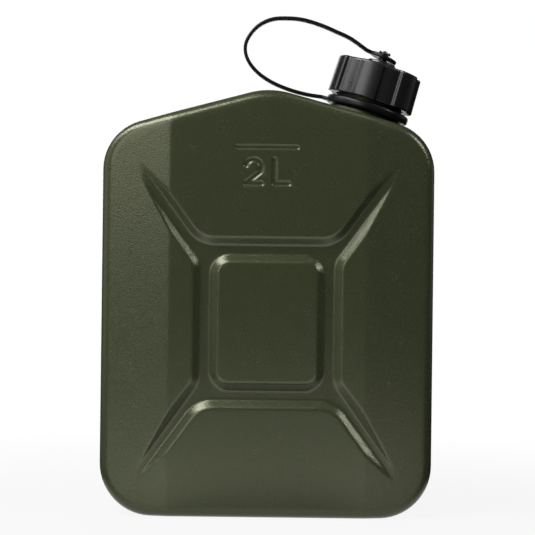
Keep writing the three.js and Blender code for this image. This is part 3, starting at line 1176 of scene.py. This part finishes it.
@dataclass
class SeamWeld:
    """The weld bead in the recessed rim, with the ripples of its run."""

    gable: Gable = field(default_factory=Gable)
    width: float = 5.0
    crown_inset: float = 0.35
    foot_inset: float = 1.55
    ripple_pitch: float = 2.4
    ripple_height: float = 0.16
    ripple_middle: float = 0.6
    crescent: float = 0.4
    samples_per_ripple: int = 5
    section_points: int = 9
    neck_clearance: float = 0.3

    def _section(self, at: np.ndarray, normal: np.ndarray, run: float) -> list[tuple[float, float, float]]:
        """The bead's section at one place of its run.

        Args:
            at: the place on the outline.
            normal: the outward normal there.
            run: the length of the run so far.

        Returns:
            The section's points.
        """
        points = []
        for share in np.linspace(-1, 1, self.section_points):
            phase = run / self.ripple_pitch - self.crescent * (1 - share**2)
            wave = abs(math.sin(math.pi * phase)) - self.ripple_middle
            bulge = math.sqrt(max(0.0, 1 - share**2))
            height = (self.foot_inset - self.crown_inset) * bulge + self.ripple_height * wave * bulge
            inset = self.foot_inset - height
            points.append((at[0] - normal[0] * inset, share * self.width / 2, at[1] - normal[1] * inset))
        return points

    def build(self) -> bpy.types.Object:
        """Sweeps the bead round the rim, from one side of the neck to the other.

        Returns:
            The bead.
        """
        outline = self.gable.outline(self.ripple_pitch / self.samples_per_ripple)
        place = neck_place().inverted()
        reach = self.gable.neck_hole_radius + self.neck_clearance

        def clear(at: np.ndarray) -> bool:
            """Whether a place of the outline is clear of the neck."""
            seen = place @ (Vector((at[0], 0, at[1])) * MM)
            return math.hypot(seen.x, seen.y) > reach * MM or seen.z < -reach * MM

        free = [clear(at) for at in outline.points]
        count = len(free)
        first = next(i for i in range(count) if free[i] and not free[i - 1])
        order = [(first + i) % count for i in range(count) if free[(first + i) % count]]
        steps = np.linalg.norm(outline.points - np.roll(outline.points, 1, axis=0), axis=1)
        draft = Draft()
        run = 0.0
        rings = []
        for i in order:
            run += steps[i]
            rings.append(draft.ring(self._section(outline.points[i], outline.normals[i], run)))
        draft.tube(rings)
        return draft.build("seam_weld_bead")

    def dress(self, bead: bpy.types.Object) -> None:
        """Paints the bead and ties it to the can.

        Args:
            bead: the bead.
        """
        settle(bead, Body.CAN, POWDER_COAT, "seam_weld")


@dataclass(frozen=True)
class Thread:
    """A round screw thread between two heights of the neck's axis."""

    pitch: float = 4.0
    ridge: float = 0.75
    crest_half: float = 0.45
    flank: float = 0.75
    low: float = 9.8
    high: float = 22.1
    run_out: float = 1.6
    lag: float = 0.0

    def height(self, height: float, angles: np.ndarray) -> np.ndarray:
        """How far the thread stands out.

        Args:
            height: a height on the axis.
            angles: the angles round the axis.

        Returns:
            The ridge's height at each angle.
        """
        phase = (height / self.pitch - angles / FULL_TURN + self.lag) % 1.0
        off_crest = np.abs(phase - 0.5) * self.pitch
        shape = smooth_step((self.crest_half + self.flank - off_crest) / self.flank)
        fade = min(height - self.low, self.high - height) / self.run_out
        return self.ridge * shape * smooth_step(fade)


@dataclass
class FillerNeck:
    """The threaded steel neck with its collar and stop bead."""

    radius: float = 17.0
    bore_radius: float = 14.8
    foot: float = -4.0
    lean: float = math.radians(1.7)
    collar_radius: float = 19.0
    collar_floor: float = 0.3
    collar_top: float = 2.9
    bead_radius: float = 17.7
    bead_floor: float = 7.5
    bead_top: float = 8.3
    rim: float = 23.3
    end_rounding: float = 0.4
    root_rounding: float = 0.1
    collar_roundings: tuple[float, float] = (0.3, 0.9)
    bead_rounding: float = 0.3
    rim_rounding: float = 0.7
    thread: Thread = Thread()
    spacing: float = 0.35
    column_count: int = 120

    def _on_roof(self, x: float, y: float, z: float) -> tuple[float, float, float]:
        """Slants the collar's foot along the roof, from which the neck leans away.

        Args:
            x: distance from the axis down the roof.
            y: distance from the axis in depth.
            z: height on the axis.

        Returns:
            The point's new place.
        """
        if math.hypot(x, y) < self.radius - SAME_RADIUS:
            return x, y, z
        share = np.interp(z, [self.foot, self.collar_floor, self.collar_top], [0.0, 1.0, 0.0])
        return x, y, z + share * x * math.tan(self.lean)

    def build(self) -> bpy.types.Object:
        """Turns the neck's section about its axis, with the thread on its outside.

        Returns:
            The neck.
        """
        middle = (self.bead_floor + self.bead_top) / 2
        section = Outline(
            [
                Corner(self.bore_radius, self.foot, self.end_rounding),
                Corner(self.radius, self.foot, self.end_rounding),
                Corner(self.radius, self.collar_floor, self.root_rounding),
                Corner(self.collar_radius, self.collar_floor, self.collar_roundings[0]),
                Corner(self.collar_radius, self.collar_top, self.collar_roundings[1]),
                Corner(self.radius, self.collar_top, self.end_rounding),
                Corner(self.radius, self.bead_floor, self.root_rounding),
                Corner(self.bead_radius, middle, self.bead_rounding),
                Corner(self.radius, self.bead_top, self.root_rounding),
                Corner(self.radius, self.rim, self.rim_rounding),
                Corner(self.bore_radius, self.rim, self.rim_rounding),
            ],
            self.spacing,
        )

        def shift(radius: float, height: float, angles: np.ndarray) -> np.ndarray:
            """The thread's height on the neck's outside, and nothing elsewhere."""
            outside = abs(radius - self.radius) < SAME_RADIUS
            return self.thread.height(height, angles) if outside else np.zeros(len(angles))

        draft = Draft()
        draft.revolve(section.points, columns(self.column_count), closed=True, shift=shift)
        draft.points = [self._on_roof(*point) for point in draft.points]
        return draft.build("filler_neck_tube", neck_place())

    def dress(self, neck: bpy.types.Object) -> None:
        """Paints the neck in its darker coat, which is painted shade for the shade under the cap and ring,
        and ties it to the can.

        Args:
            neck: the neck.
        """
        settle(neck, Body.CAN, SHADED_NECK_COAT, "filler_neck")


def slab(
    draft: Draft, stations: Sequence[tuple[float, float]], floor: float, ceiling: float, rounding: float
) -> None:
    """Adds a flat tapering bar along the x axis, with rounded long edges.

    Args:
        draft: the draft that takes it.
        stations: places along x and the bar's whole width there.
        floor: its lower side.
        ceiling: its upper side.
        rounding: the radius of its long edges.
    """
    rings = []
    for along, width in stations:
        section = Outline(rectangle(-width / 2, width / 2, floor, ceiling, rounding), 2 * width)
        rings.append(draft.ring((along, y, z) for y, z in section.points))
    draft.tube(rings)


@dataclass
class Tether:
    """The moulded tether: a ring on the neck, a looped strap and an eye on the cap's stud."""

    ring_bore: float = 17.3
    ring_radius: float = 21.9
    ring_floor: float = 3.2
    ring_top: float = 7.2
    ring_rounding: float = 1.2
    ring_tab_end: float = 24.2
    ring_tab_width: float = 8.0
    ring_tab_height: float = 4.6
    band_columns: int = 96
    strap_width: float = 5.0
    strap_thickness: float = 1.8
    strap_rounding: float = 0.55
    strap_rings: int = 200
    eye_radius: float = 7.2
    eye_bore: float = 2.65
    eye_thickness: float = 2.0
    eye_rounding: float = 0.5
    eye_tilt: float = math.radians(8)
    eye_height: float = 33.42
    eye_tab_end: float = 9.2
    seat_gap: float = 0.3
    overlap: float = 1.2
    # The strap's middle line: places along the roof from the neck's axis, and heights above it.
    route: tuple[tuple[float, float], ...] = (
        (-31.8, 3.5),
        (-40.9, 3.1),
        (-49.9, 3.8),
        (-54.6, 4.8),
        (-59.8, 6.6),
        (-65.2, 9.9),
        (-68.9, 14.2),
        (-70.4, 18.9),
        (-69.7, 24.1),
        (-66.8, 30.2),
        (-61.4, 35.2),
        (-53.5, 38.3),
        (-45.6, 39.9),
        (-36.0, 40.0),
        (-28.0, 39.2),
        (-19.4, 38.0),
    )

    def _eye_place(self) -> Matrix:
        """The eye's frame, tilted above the cap's boss."""
        lift = Matrix.Translation((0, 0, self.eye_height * MM))
        return neck_place() @ lift @ Matrix.Rotation(self.eye_tilt, 4, "Y")

    def _band(
        self, draft: Draft, radii: tuple[float, float], levels: tuple[float, float], rounding: float
    ) -> None:
        """Adds a flat round band with rounded edges.

        Args:
            draft: the draft that takes it.
            radii: its bore's and its outer radius.
            levels: its lower and its upper side.
            rounding: the radius of its outer edges; the inner ones get half of it.
        """
        (inner, outer), (floor, ceiling) = radii, levels
        corners = [
            Corner(inner, floor, rounding / 2),
            Corner(outer, floor, rounding),
            Corner(outer, ceiling, rounding),
            Corner(inner, ceiling, rounding / 2),
        ]
        section = Outline(corners, (outer - inner) / 4)
        draft.revolve(section.points, columns(self.band_columns), closed=True)

    def build_ring(self) -> bpy.types.Object:
        """Models the ring on the neck with its tab.

        Returns:
            The ring.
        """
        draft = Draft()
        radii, levels = (self.ring_bore, self.ring_radius), (self.ring_floor, self.ring_top)
        self._band(draft, radii, levels, self.ring_rounding)
        root = (self.ring_bore + self.ring_radius) / 2
        half = self.strap_thickness / 2
        stations = [(-root, self.ring_tab_width), (-self.ring_tab_end, self.strap_width)]
        slab(draft, stations, self.ring_tab_height - half, self.ring_tab_height + half, self.strap_rounding)
        return draft.build("tether_ring_moulding", neck_place())

    def build_eye(self) -> bpy.types.Object:
        """Models the eye on the stud with its tab.

        Returns:
            The eye.
        """
        draft = Draft()
        half = self.eye_thickness / 2
        self._band(draft, (self.eye_bore, self.eye_radius), (-half, half), self.eye_rounding)
        root = (self.eye_bore + self.eye_radius) / 2
        stations = [(-root, self.strap_width), (-self.eye_tab_end, self.strap_width)]
        slab(draft, stations, -self.strap_thickness / 2, self.strap_thickness / 2, self.strap_rounding)
        return draft.build("tether_eye_moulding", self._eye_place())

    def _strap_path(self) -> np.ndarray:
        """The strap's middle line in the neck's frame, run on a little into both tabs.

        Returns:
            Places along the roof slope and heights above it.
        """
        reach = self.eye_tab_end + self.seat_gap
        eye_along = np.array([math.cos(self.eye_tilt), -math.sin(self.eye_tilt)])
        eye_middle = np.array([0.0, self.eye_height])
        start = np.array([-self.ring_tab_end - self.seat_gap, self.ring_tab_height])
        end = eye_middle - eye_along * reach
        curve = catmull_rom(np.array([start, *self.route, end]), self.strap_rings)
        into_ring = start + np.array([self.seat_gap + self.overlap, 0.0])
        into_eye = end + eye_along * (self.seat_gap + self.overlap)
        return np.array([into_ring, *curve, into_eye])

    def build_strap(self) -> bpy.types.Object:
        """Sweeps the strap's rounded section along its route.

        Returns:
            The strap.
        """
        path = self._strap_path()
        runs = np.gradient(path, axis=0)
        runs /= np.linalg.norm(runs, axis=1)[:, None]
        wide, thick = self.strap_width / 2, self.strap_thickness / 2
        corners = rectangle(-wide, wide, -thick, thick, self.strap_rounding)
        section = Outline(corners, self.strap_width).points
        draft = Draft()
        rings = []
        for (along, height), (run_x, run_z) in zip(path, runs):
            rings.append(draft.ring((along - run_z * v, u, height + run_x * v) for u, v in section))
        draft.tube(rings)
        return draft.build("tether_strap_moulding", neck_place())

    def dress(self, ring: bpy.types.Object, eye: bpy.types.Object, strap: bpy.types.Object) -> None:
        """Gives the tether its finish; the ring rides on the can, the eye on its own body, and the strap
        stays in place between them on no body.

        Args:
            ring: the ring on the neck.
            eye: the eye on the stud.
            strap: the strap between them.
        """
        settle(ring, Body.CAN, TETHER_MOULDING, "tether_ring")
        settle(eye, Body.EYE, TETHER_MOULDING, "tether_eye")
        TETHER_MOULDING.dress(strap)
        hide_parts("tether_strap")
        path = self._strap_path()
        place = neck_place()
        low, high = (place @ (Vector((along, 0, height)) * MM) for along, height in (path[1], path[-2]))
        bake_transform(strap)
        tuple(low)
        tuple(high)
        log.info("%s made", strap.name)


# The pairs of knots between which each step of the curve's pyramid blends.
KNOT_PAIRS = (((0, 1), (1, 2), (2, 3)), ((0, 2), (1, 3)), ((1, 2),))


def catmull_rom(points: np.ndarray, count: int) -> np.ndarray:
    """A smooth curve through points, with knots spaced by the root of their distance.

    Args:
        points: the points, one in each row.
        count: how many places the curve gets.

    Returns:
        The places along the curve.
    """
    ghosts = np.array([2 * points[0] - points[1], *points, 2 * points[-1] - points[-2]])
    steps = np.sqrt(np.linalg.norm(np.diff(ghosts, axis=0), axis=1))
    knots = np.concatenate([[0.0], np.cumsum(steps)])
    places = []
    for at in np.linspace(knots[1], knots[-2], count):
        i = int(np.clip(np.searchsorted(knots, at, side="right") - 1, 1, len(points) - 1))
        level, span = ghosts[i - 1 : i + 3], knots[i - 1 : i + 3]
        for pairs in KNOT_PAIRS:
            level = [
                blend_knots(level[k], level[k + 1], span[low], span[high], at)
                for k, (low, high) in enumerate(pairs)
            ]
        places.append(level[0])
    return np.array(places)


def blend_knots(first: np.ndarray, second: np.ndarray, start: float, end: float, at: float) -> np.ndarray:
    """Blends two points by where a knot value stands between two knots.

    Args:
        first: the point at the lower knot.
        second: the point at the upper knot.
        start: the lower knot.
        end: the upper knot.
        at: the knot value.

    Returns:
        The blended point.
    """
    share = (at - start) / (end - start)
    return first * (1 - share) + second * share


@dataclass
class ScrewCap:
    """The lobed screw cap with its boss, split stud and seal."""

    foot: float = 9.1
    top: float = 28.1
    foot_radius: float = 22.7
    crown_radius: float = 22.2
    crown_rounding: float = 1.1
    bore_radius: float = 18.0
    ceiling: float = 25.3
    lobes: int = 6
    lobe_half: float = math.radians(15)
    flank: float = math.radians(3.5)
    lobe_step: float = 1.7
    first_lobe: float = math.radians(-103)
    lobe_blend: tuple[float, float] = (18.4, 20.4)
    lobe_steps: int = 6
    recess_steps: int = 8
    bore_rounding: float = 0.3
    foot_rounding: float = 0.5
    boss_rounding: float = 0.6
    socket_roundings: tuple[float, float] = (0.2, 0.1)
    cap_spacing: float = 0.4
    thread: Thread = Thread(lag=0.5, low=9.9, high=22.9)
    boss_foot_radius: float = 7.8
    boss_top_radius: float = 7.3
    boss_top: float = 31.1
    socket_radius: float = 2.4
    socket_floor: float = 28.5
    stud_radius: float = 2.1
    stud_foot: float = 28.8
    stud_rounding: float = 0.3
    stud_overlap: float = 0.2
    stud_spacing: float = 0.5
    stud_columns: int = 40
    crown_floor: float = 35.21
    crown_top: float = 36.91
    prong_radius: float = 3.4
    prong_tip_radius: float = 2.7
    prong_bore: float = 0.9
    prongs: int = 4
    prong_gap: float = math.radians(14)
    prong_lift: float = 0.1
    prong_flare: float = 0.1
    prong_root_rounding: float = 0.1
    prong_rounding: float = 0.15
    # The hollow inside the prongs' tips: its run, and its depth as a share of their height.
    prong_dish: tuple[float, float] = (0.5, 0.3)
    prong_slope: float = 0.3
    prong_taper: float = 0.25
    prong_spacing: float = 0.4
    prong_rings: int = 7
    seal_radius: float = 17.6
    seal_floor: float = 23.6
    seal_top: float = 25.0
    seal_roundings: tuple[float, float] = (0.15, 0.3)
    seal_spacing: float = 0.8
    seal_columns: int = 80
    groove_depth: float = 0.12
    # Each bend of the seal's groove: its radius, whether it is sunk, and its rounding.
    groove: tuple[tuple[float, int, float], ...] = (
        (14.2, 0, 0.3),
        (14.6, 1, 0.2),
        (16.9, 1, 0.2),
        (17.2, 0, 0.1),
    )

    def _columns(self) -> np.ndarray:
        """The angles round the cap, closest on the flanks of its lobes.

        Returns:
            The angles in radians.
        """
        pitch = FULL_TURN / self.lobes
        edge = self.lobe_half + self.flank
        stretches = (
            (-self.lobe_half, self.lobe_half, self.lobe_steps),
            (self.lobe_half, edge, self.lobe_steps),
            (edge, pitch - edge, self.recess_steps),
            (pitch - edge, pitch - self.lobe_half, self.lobe_steps),
        )
        marks = [mark for start, end, steps in stretches for mark in np.linspace(start, end, steps + 1)[:-1]]
        return np.array([self.first_lobe + i * pitch + mark for i in range(self.lobes) for mark in marks])

    def _shift(self, radius: float, height: float, angles: np.ndarray) -> np.ndarray:
        """How the lobes and the inner thread change the cap's radius.

        Args:
            radius: the plain radius.
            height: the height on the axis.
            angles: the angles of the columns.

        Returns:
            The change at each angle.
        """
        if abs(radius - self.bore_radius) < SAME_RADIUS and height < self.ceiling:
            return -self.thread.height(height, angles)
        pitch = FULL_TURN / self.lobes
        off_lobe = np.abs((angles - self.first_lobe + pitch / 2) % pitch - pitch / 2)
        recess = smooth_step((off_lobe - self.lobe_half) / self.flank)
        low, high = self.lobe_blend
        return -self.lobe_step * recess * np.clip((radius - low) / (high - low), 0.0, 1.0)

    def build_cap(self) -> bpy.types.Object:
        """Turns the cap's profile about its axis, with lobes outside and a thread inside.

        Returns:
            The cap.
        """
        profile = Outline(
            [
                Corner(0, self.ceiling),
                Corner(self.bore_radius, self.ceiling, self.bore_rounding),
                Corner(self.bore_radius, self.foot, self.foot_rounding),
                Corner(self.foot_radius, self.foot, self.foot_rounding),
                Corner(self.crown_radius, self.top, self.crown_rounding),
                Corner(self.boss_foot_radius, self.top, self.boss_rounding),
                Corner(self.boss_top_radius, self.boss_top, self.boss_rounding),
                Corner(self.socket_radius, self.boss_top, self.socket_roundings[0]),
                Corner(self.socket_radius, self.socket_floor, self.socket_roundings[1]),
                Corner(0, self.socket_floor),
            ],
            self.cap_spacing,
            closed=False,
        )
        draft = Draft()
        draft.revolve(profile.points, self._columns(), closed=False, shift=self._shift)
        return draft.build("cap_moulding", neck_place())

    def build_stud(self) -> bpy.types.Object:
        """Models the stud: a shank and a crown of flared, pointed prongs.

        Returns:
            The stud.
        """
        draft = Draft()
        shank_top = self.crown_floor + self.stud_overlap
        shank = Outline(
            [
                Corner(0, self.stud_foot),
                Corner(self.stud_radius, self.stud_foot, self.stud_rounding),
                Corner(self.stud_radius, shank_top, self.prong_root_rounding),
                Corner(0, shank_top),
            ],
            self.stud_spacing,
            closed=False,
        )
        draft.revolve(shank.points, columns(self.stud_columns), closed=False)
        tall = self.crown_top - self.crown_floor
        dish_run, dish_share = self.prong_dish
        section = Outline(
            [
                Corner(self.prong_bore, self.crown_floor + self.prong_lift, self.prong_root_rounding),
                Corner(self.stud_radius, self.crown_floor, self.prong_root_rounding),
                Corner(self.prong_radius, self.crown_floor + self.prong_flare * tall, self.prong_rounding),
                Corner(self.prong_tip_radius, self.crown_top, self.prong_rounding),
                Corner(self.prong_bore + dish_run, self.crown_top - dish_share * tall, self.prong_rounding),
            ],
            self.prong_spacing,
        ).points
        pitch = FULL_TURN / self.prongs
        for prong in range(self.prongs):
            rings = []
            for share in np.linspace(-1, 1, self.prong_rings):
                angle = prong * pitch + share * (pitch / 2 - self.prong_gap)
                points = []
                for radius, height in section:
                    rise = (height - self.crown_floor) / tall
                    sunk = height - self.prong_slope * tall * rise * share**2
                    drawn = radius - self.prong_taper * share**2 * max(0.0, radius - self.stud_radius)
                    points.append((drawn * math.cos(angle), drawn * math.sin(angle), sunk))
                rings.append(draft.ring(points))
            draft.tube(rings)
        return draft.build("stud_crown_prongs", neck_place())

    def build_seal(self) -> bpy.types.Object:
        """Turns the seal disc, with the groove that the neck's rim presses into it.

        Returns:
            The seal.
        """
        groove = [
            Corner(radius, self.seal_floor + sunk * self.groove_depth, rounding)
            for radius, sunk, rounding in self.groove
        ]
        profile = Outline(
            [
                Corner(0, self.seal_floor),
                *groove,
                Corner(self.seal_radius, self.seal_floor, self.seal_roundings[0]),
                Corner(self.seal_radius, self.seal_top, self.seal_roundings[1]),
                Corner(0, self.seal_top),
            ],
            self.seal_spacing,
            closed=False,
        )
        draft = Draft()
        draft.revolve(profile.points, columns(self.seal_columns), closed=False)
        return draft.build("seal_disc", neck_place())

    def dress(self, cap: bpy.types.Object, stud: bpy.types.Object, seal: bpy.types.Object) -> None:
        """Gives the cap's pieces their finishes and ties them to the cap.

        Args:
            cap: the cap.
            stud: the stud on its boss.
            seal: the seal inside it.
        """
        settle(cap, Body.CAP, BLACK_MOULDING, "cap_shell")
        settle(stud, Body.CAP, BLACK_MOULDING, "tether_stud")
        settle(seal, Body.CAP, BLACK_RUBBER, "cap_seal")


@dataclass(frozen=True)
class SoftBox:
    """A rectangular studio light that faces a point of the can."""

    name: str
    azimuth: float
    elevation: float
    distance: float
    size: tuple[float, float]
    power: float
    aim: Place = (0.0, 0.0, 0.11)

    def build(self) -> None:
        """Hangs the light; azimuth 0 is in front and positive angles are to the right."""
        light = bpy.data.lights.new(self.name, "AREA")
        light.shape = "RECTANGLE"
        light.size, light.size_y = self.size
        light.energy = self.power
        turn, rise = math.radians(self.azimuth), math.radians(self.elevation)
        away = Vector((math.sin(turn) * math.cos(rise), -math.cos(turn) * math.cos(rise), math.sin(rise)))
        lamp = bpy.data.objects.new(self.name, light)
        lamp.location = Vector(self.aim) + away * self.distance
        lamp.rotation_mode = "QUATERNION"
        lamp.rotation_quaternion = away.to_track_quat("Z", "Y")
        bpy.context.scene.collection.objects.link(lamp)


@dataclass(frozen=True)
class PaintedFloorGlow:
    """A painted patch of light on the floor, an emission that only reflections see; in quarters it lies at
    all four corners.
    """

    light: float
    reach: tuple[float, float]
    middle: Place = (0.0, 0.0, 0.0)
    narrowing: Place = (1.0, 1.0, 1.0)
    quarters: bool = False

    def level(self, graph: Graph, place: Value) -> Value:
        """How brightly the patch glows.

        Args:
            graph: the floor's graph.
            place: the place on the floor.

        Returns:
            The light there.
        """
        if self.quarters:
            place = graph.node("VectorMath", {"operation": "ABSOLUTE"}, {0: place})
        narrowed = graph.node("VectorMath", {"operation": "MULTIPLY"}, {0: place, 1: self.narrowing})
        ends = {0: narrowed, 1: self.middle}
        gap = graph.node("VectorMath", {"operation": "DISTANCE"}, ends, output="Value")
        return graph.fall_off(gap, self.reach, self.light, 0.0)


@dataclass(frozen=True)
class Studio:
    """A pale floor that runs out into a white ground, lit mostly from the left and above."""

    floor_size: float = 6.0
    floor_drop: float = 0.0002
    floor_tone: float = 0.25
    floor_glow: float = 0.9
    fibre_grain: float = 14.0
    fibre_detail: float = 4.0
    fibre_shade: float = 0.97
    paper_roughness: float = 0.9
    shadow_reach: tuple[float, float] = (0.12, 0.5)
    # Painted light that only reflections see on the floor: a glowing pool before the can, a band at its foot
    # and patches at its corners.
    pool: PaintedFloorGlow = PaintedFloorGlow(
        light=1.8, reach=(0.165, 0.215), middle=(-0.03, -0.29, 0.0), narrowing=(0.6, 1.0, 1.0)
    )
    foot: PaintedFloorGlow = PaintedFloorGlow(light=1.1, reach=(0.048, 0.074), narrowing=(0.5, 1.0, 1.0))
    corners: PaintedFloorGlow = PaintedFloorGlow(light=1.2, reach=(0.02, 0.07), middle=(0.085, 0.1, 0.0), quarters=True)
    room_light: float = 0.015
    lights: tuple[SoftBox, ...] = (
        SoftBox("front_left", azimuth=-34, elevation=20, distance=1.5, size=(0.75, 0.8), power=6.9),
        SoftBox("upper_left", azimuth=-54, elevation=51, distance=1.3, size=(1.1, 0.4), power=24.5),
        SoftBox("far_left", azimuth=-90, elevation=10, distance=1.5, size=(1.2, 0.8), power=1.9),
        SoftBox("front_right", azimuth=26, elevation=4, distance=1.5, size=(0.7, 0.8), power=0.2),
        SoftBox("upper_right", azimuth=71, elevation=29.5, distance=1.4, size=(0.18, 0.4), power=5.2),
        SoftBox("far_right", azimuth=115, elevation=5, distance=1.5, size=(0.9, 0.4), power=0.35),
        SoftBox("corner_left", azimuth=-95, elevation=36, distance=1.4, size=(0.5, 0.3), power=2.5),
        SoftBox("high_right", azimuth=68, elevation=68, distance=1.4, size=(0.35, 0.3), power=1.1),
        SoftBox("rear", azimuth=180, elevation=12, distance=1.5, size=(1.2, 0.8), power=8.0),
    )

    def _floor_material(self) -> bpy.types.Material:
        """Pale paper: nearly white to the camera but for the can's shadow, with painted patches of light
        that only reflections see.

        Returns:
            The material.
        """
        made = bpy.data.materials.new("floor_paper")
        graph = Graph(made)
        seen = graph.node("LightPath", output="Is Camera Ray")
        mirrored = graph.node("LightPath", output="Is Glossy Ray")
        place = graph.node("TexCoord", output="Object")
        far = graph.node("VectorMath", {"operation": "LENGTH"}, {0: place}, output="Value")
        glow_share = graph.fall_off(far, self.shadow_reach, self.floor_glow, 1.0)
        pool, foot, corners = (patch.level(graph, place) for patch in (self.pool, self.foot, self.corners))
        shades = (self.floor_tone, self.floor_tone * self.fibre_shade)
        plain, shaded = ((shade, shade, shade, 1.0) for shade in shades)
        tone = graph.node(
            "Mix",
            {"data_type": "RGBA", "blend_type": "MIX"},
            {"Factor": graph.noise(self.fibre_grain, self.fibre_detail), 6: plain, 7: shaded},
            output=2,
        )
        paper = graph.node("BsdfPrincipled", inputs={"Base Color": tone, "Roughness": self.paper_roughness})
        # Painted reflections: glowing patches that glossy rays see on the floor in place of the paper.
        painted_light_patches = graph.node("Emission", inputs={"Color": pool + foot + corners, "Strength": 1.0})
        glow = graph.node("Emission", inputs={"Color": WHITE, "Strength": 1.0})
        reflected = graph.node("MixShader", inputs={0: mirrored, 1: paper, 2: painted_light_patches})
        graph.surface(graph.node("MixShader", inputs={0: seen * glow_share, 1: reflected, 2: glow}))
        return made

    def _world(self) -> None:
        """A dim room that the camera sees as white."""
        world = bpy.data.worlds.new("studio_room")
        graph = Graph(world)
        seen = graph.node("LightPath", output="Is Camera Ray")
        room = graph.node("Background", inputs={"Color": WHITE, "Strength": self.room_light})
        white = graph.node("Background", inputs={"Color": WHITE, "Strength": 1.0})
        graph.surface(graph.node("MixShader", inputs={0: seen, 1: room, 2: white}), kind="World")
        bpy.context.scene.world = world

    def build(self) -> None:
        """Lays the floor, sets the room and hangs the lights."""
        half = self.floor_size / 2
        mesh = bpy.data.meshes.new("floor")
        corners = [(-half, -half), (half, -half), (half, half), (-half, half)]
        mesh.from_pydata([(x, y, -self.floor_drop) for x, y in corners], [], [(0, 1, 2, 3)])
        mesh.materials.append(self._floor_material())
        floor = bpy.data.objects.new("floor", mesh)
        bpy.context.scene.collection.objects.link(floor)
        floor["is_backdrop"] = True
        self._world()
        for light in self.lights:
            light.build()


@dataclass(frozen=True)
class PhotoCamera:
    """A level camera square to the front face, rolled a little as in the photograph."""

    place: Place = (-0.0001, -0.950, 0.1257)
    focal_pixels: float = 1827.0
    frame_pixels: float = 535.0
    sensor: float = 36.0
    clip: tuple[float, float] = (0.05, 50.0)
    roll: float = math.radians(0.69)

    def build(self) -> None:
        """Sets the scene's camera and plain view settings."""
        lens = bpy.data.cameras.new("photo_camera")
        lens.sensor_width = self.sensor
        lens.lens = self.focal_pixels / self.frame_pixels * self.sensor
        lens.clip_start, lens.clip_end = self.clip
        camera = bpy.data.objects.new("photo_camera", lens)
        turn = Matrix.Rotation(QUARTER_TURN, 4, "X") @ Matrix.Rotation(self.roll, 4, "Z")
        camera.matrix_world = Matrix.Translation(self.place) @ turn
        scene = bpy.context.scene
        scene.collection.objects.link(camera)
        scene.camera = camera
        scene.view_settings.view_transform = "Standard"


def write_sizes() -> None:
    boxes = {"cad": CAD_BOUNDS, "visual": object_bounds()}
    {name: [list(corner) for corner in box] for name, box in boxes.items()}


def main() -> None:
    """Builds every sub-assembly in order, then the studio and the camera."""
    logging.basicConfig(level=logging.INFO, format="%(message)s")
    for shell in (PressedShell(Side.FRONT, mark=FillMark()), PressedShell(Side.REAR)):
        shell.dress(shell.build())
    weld = SeamWeld()
    weld.dress(weld.build())
    neck = FillerNeck()
    neck.dress(neck.build())
    tether = Tether()
    tether.dress(tether.build_ring(), tether.build_eye(), tether.build_strap())
    cap = ScrewCap()
    cap.dress(cap.build_cap(), cap.build_stud(), cap.build_seal())
    Studio().build()
    PhotoCamera().build()
    write_sizes()


if __name__ == "__main__":
    main()
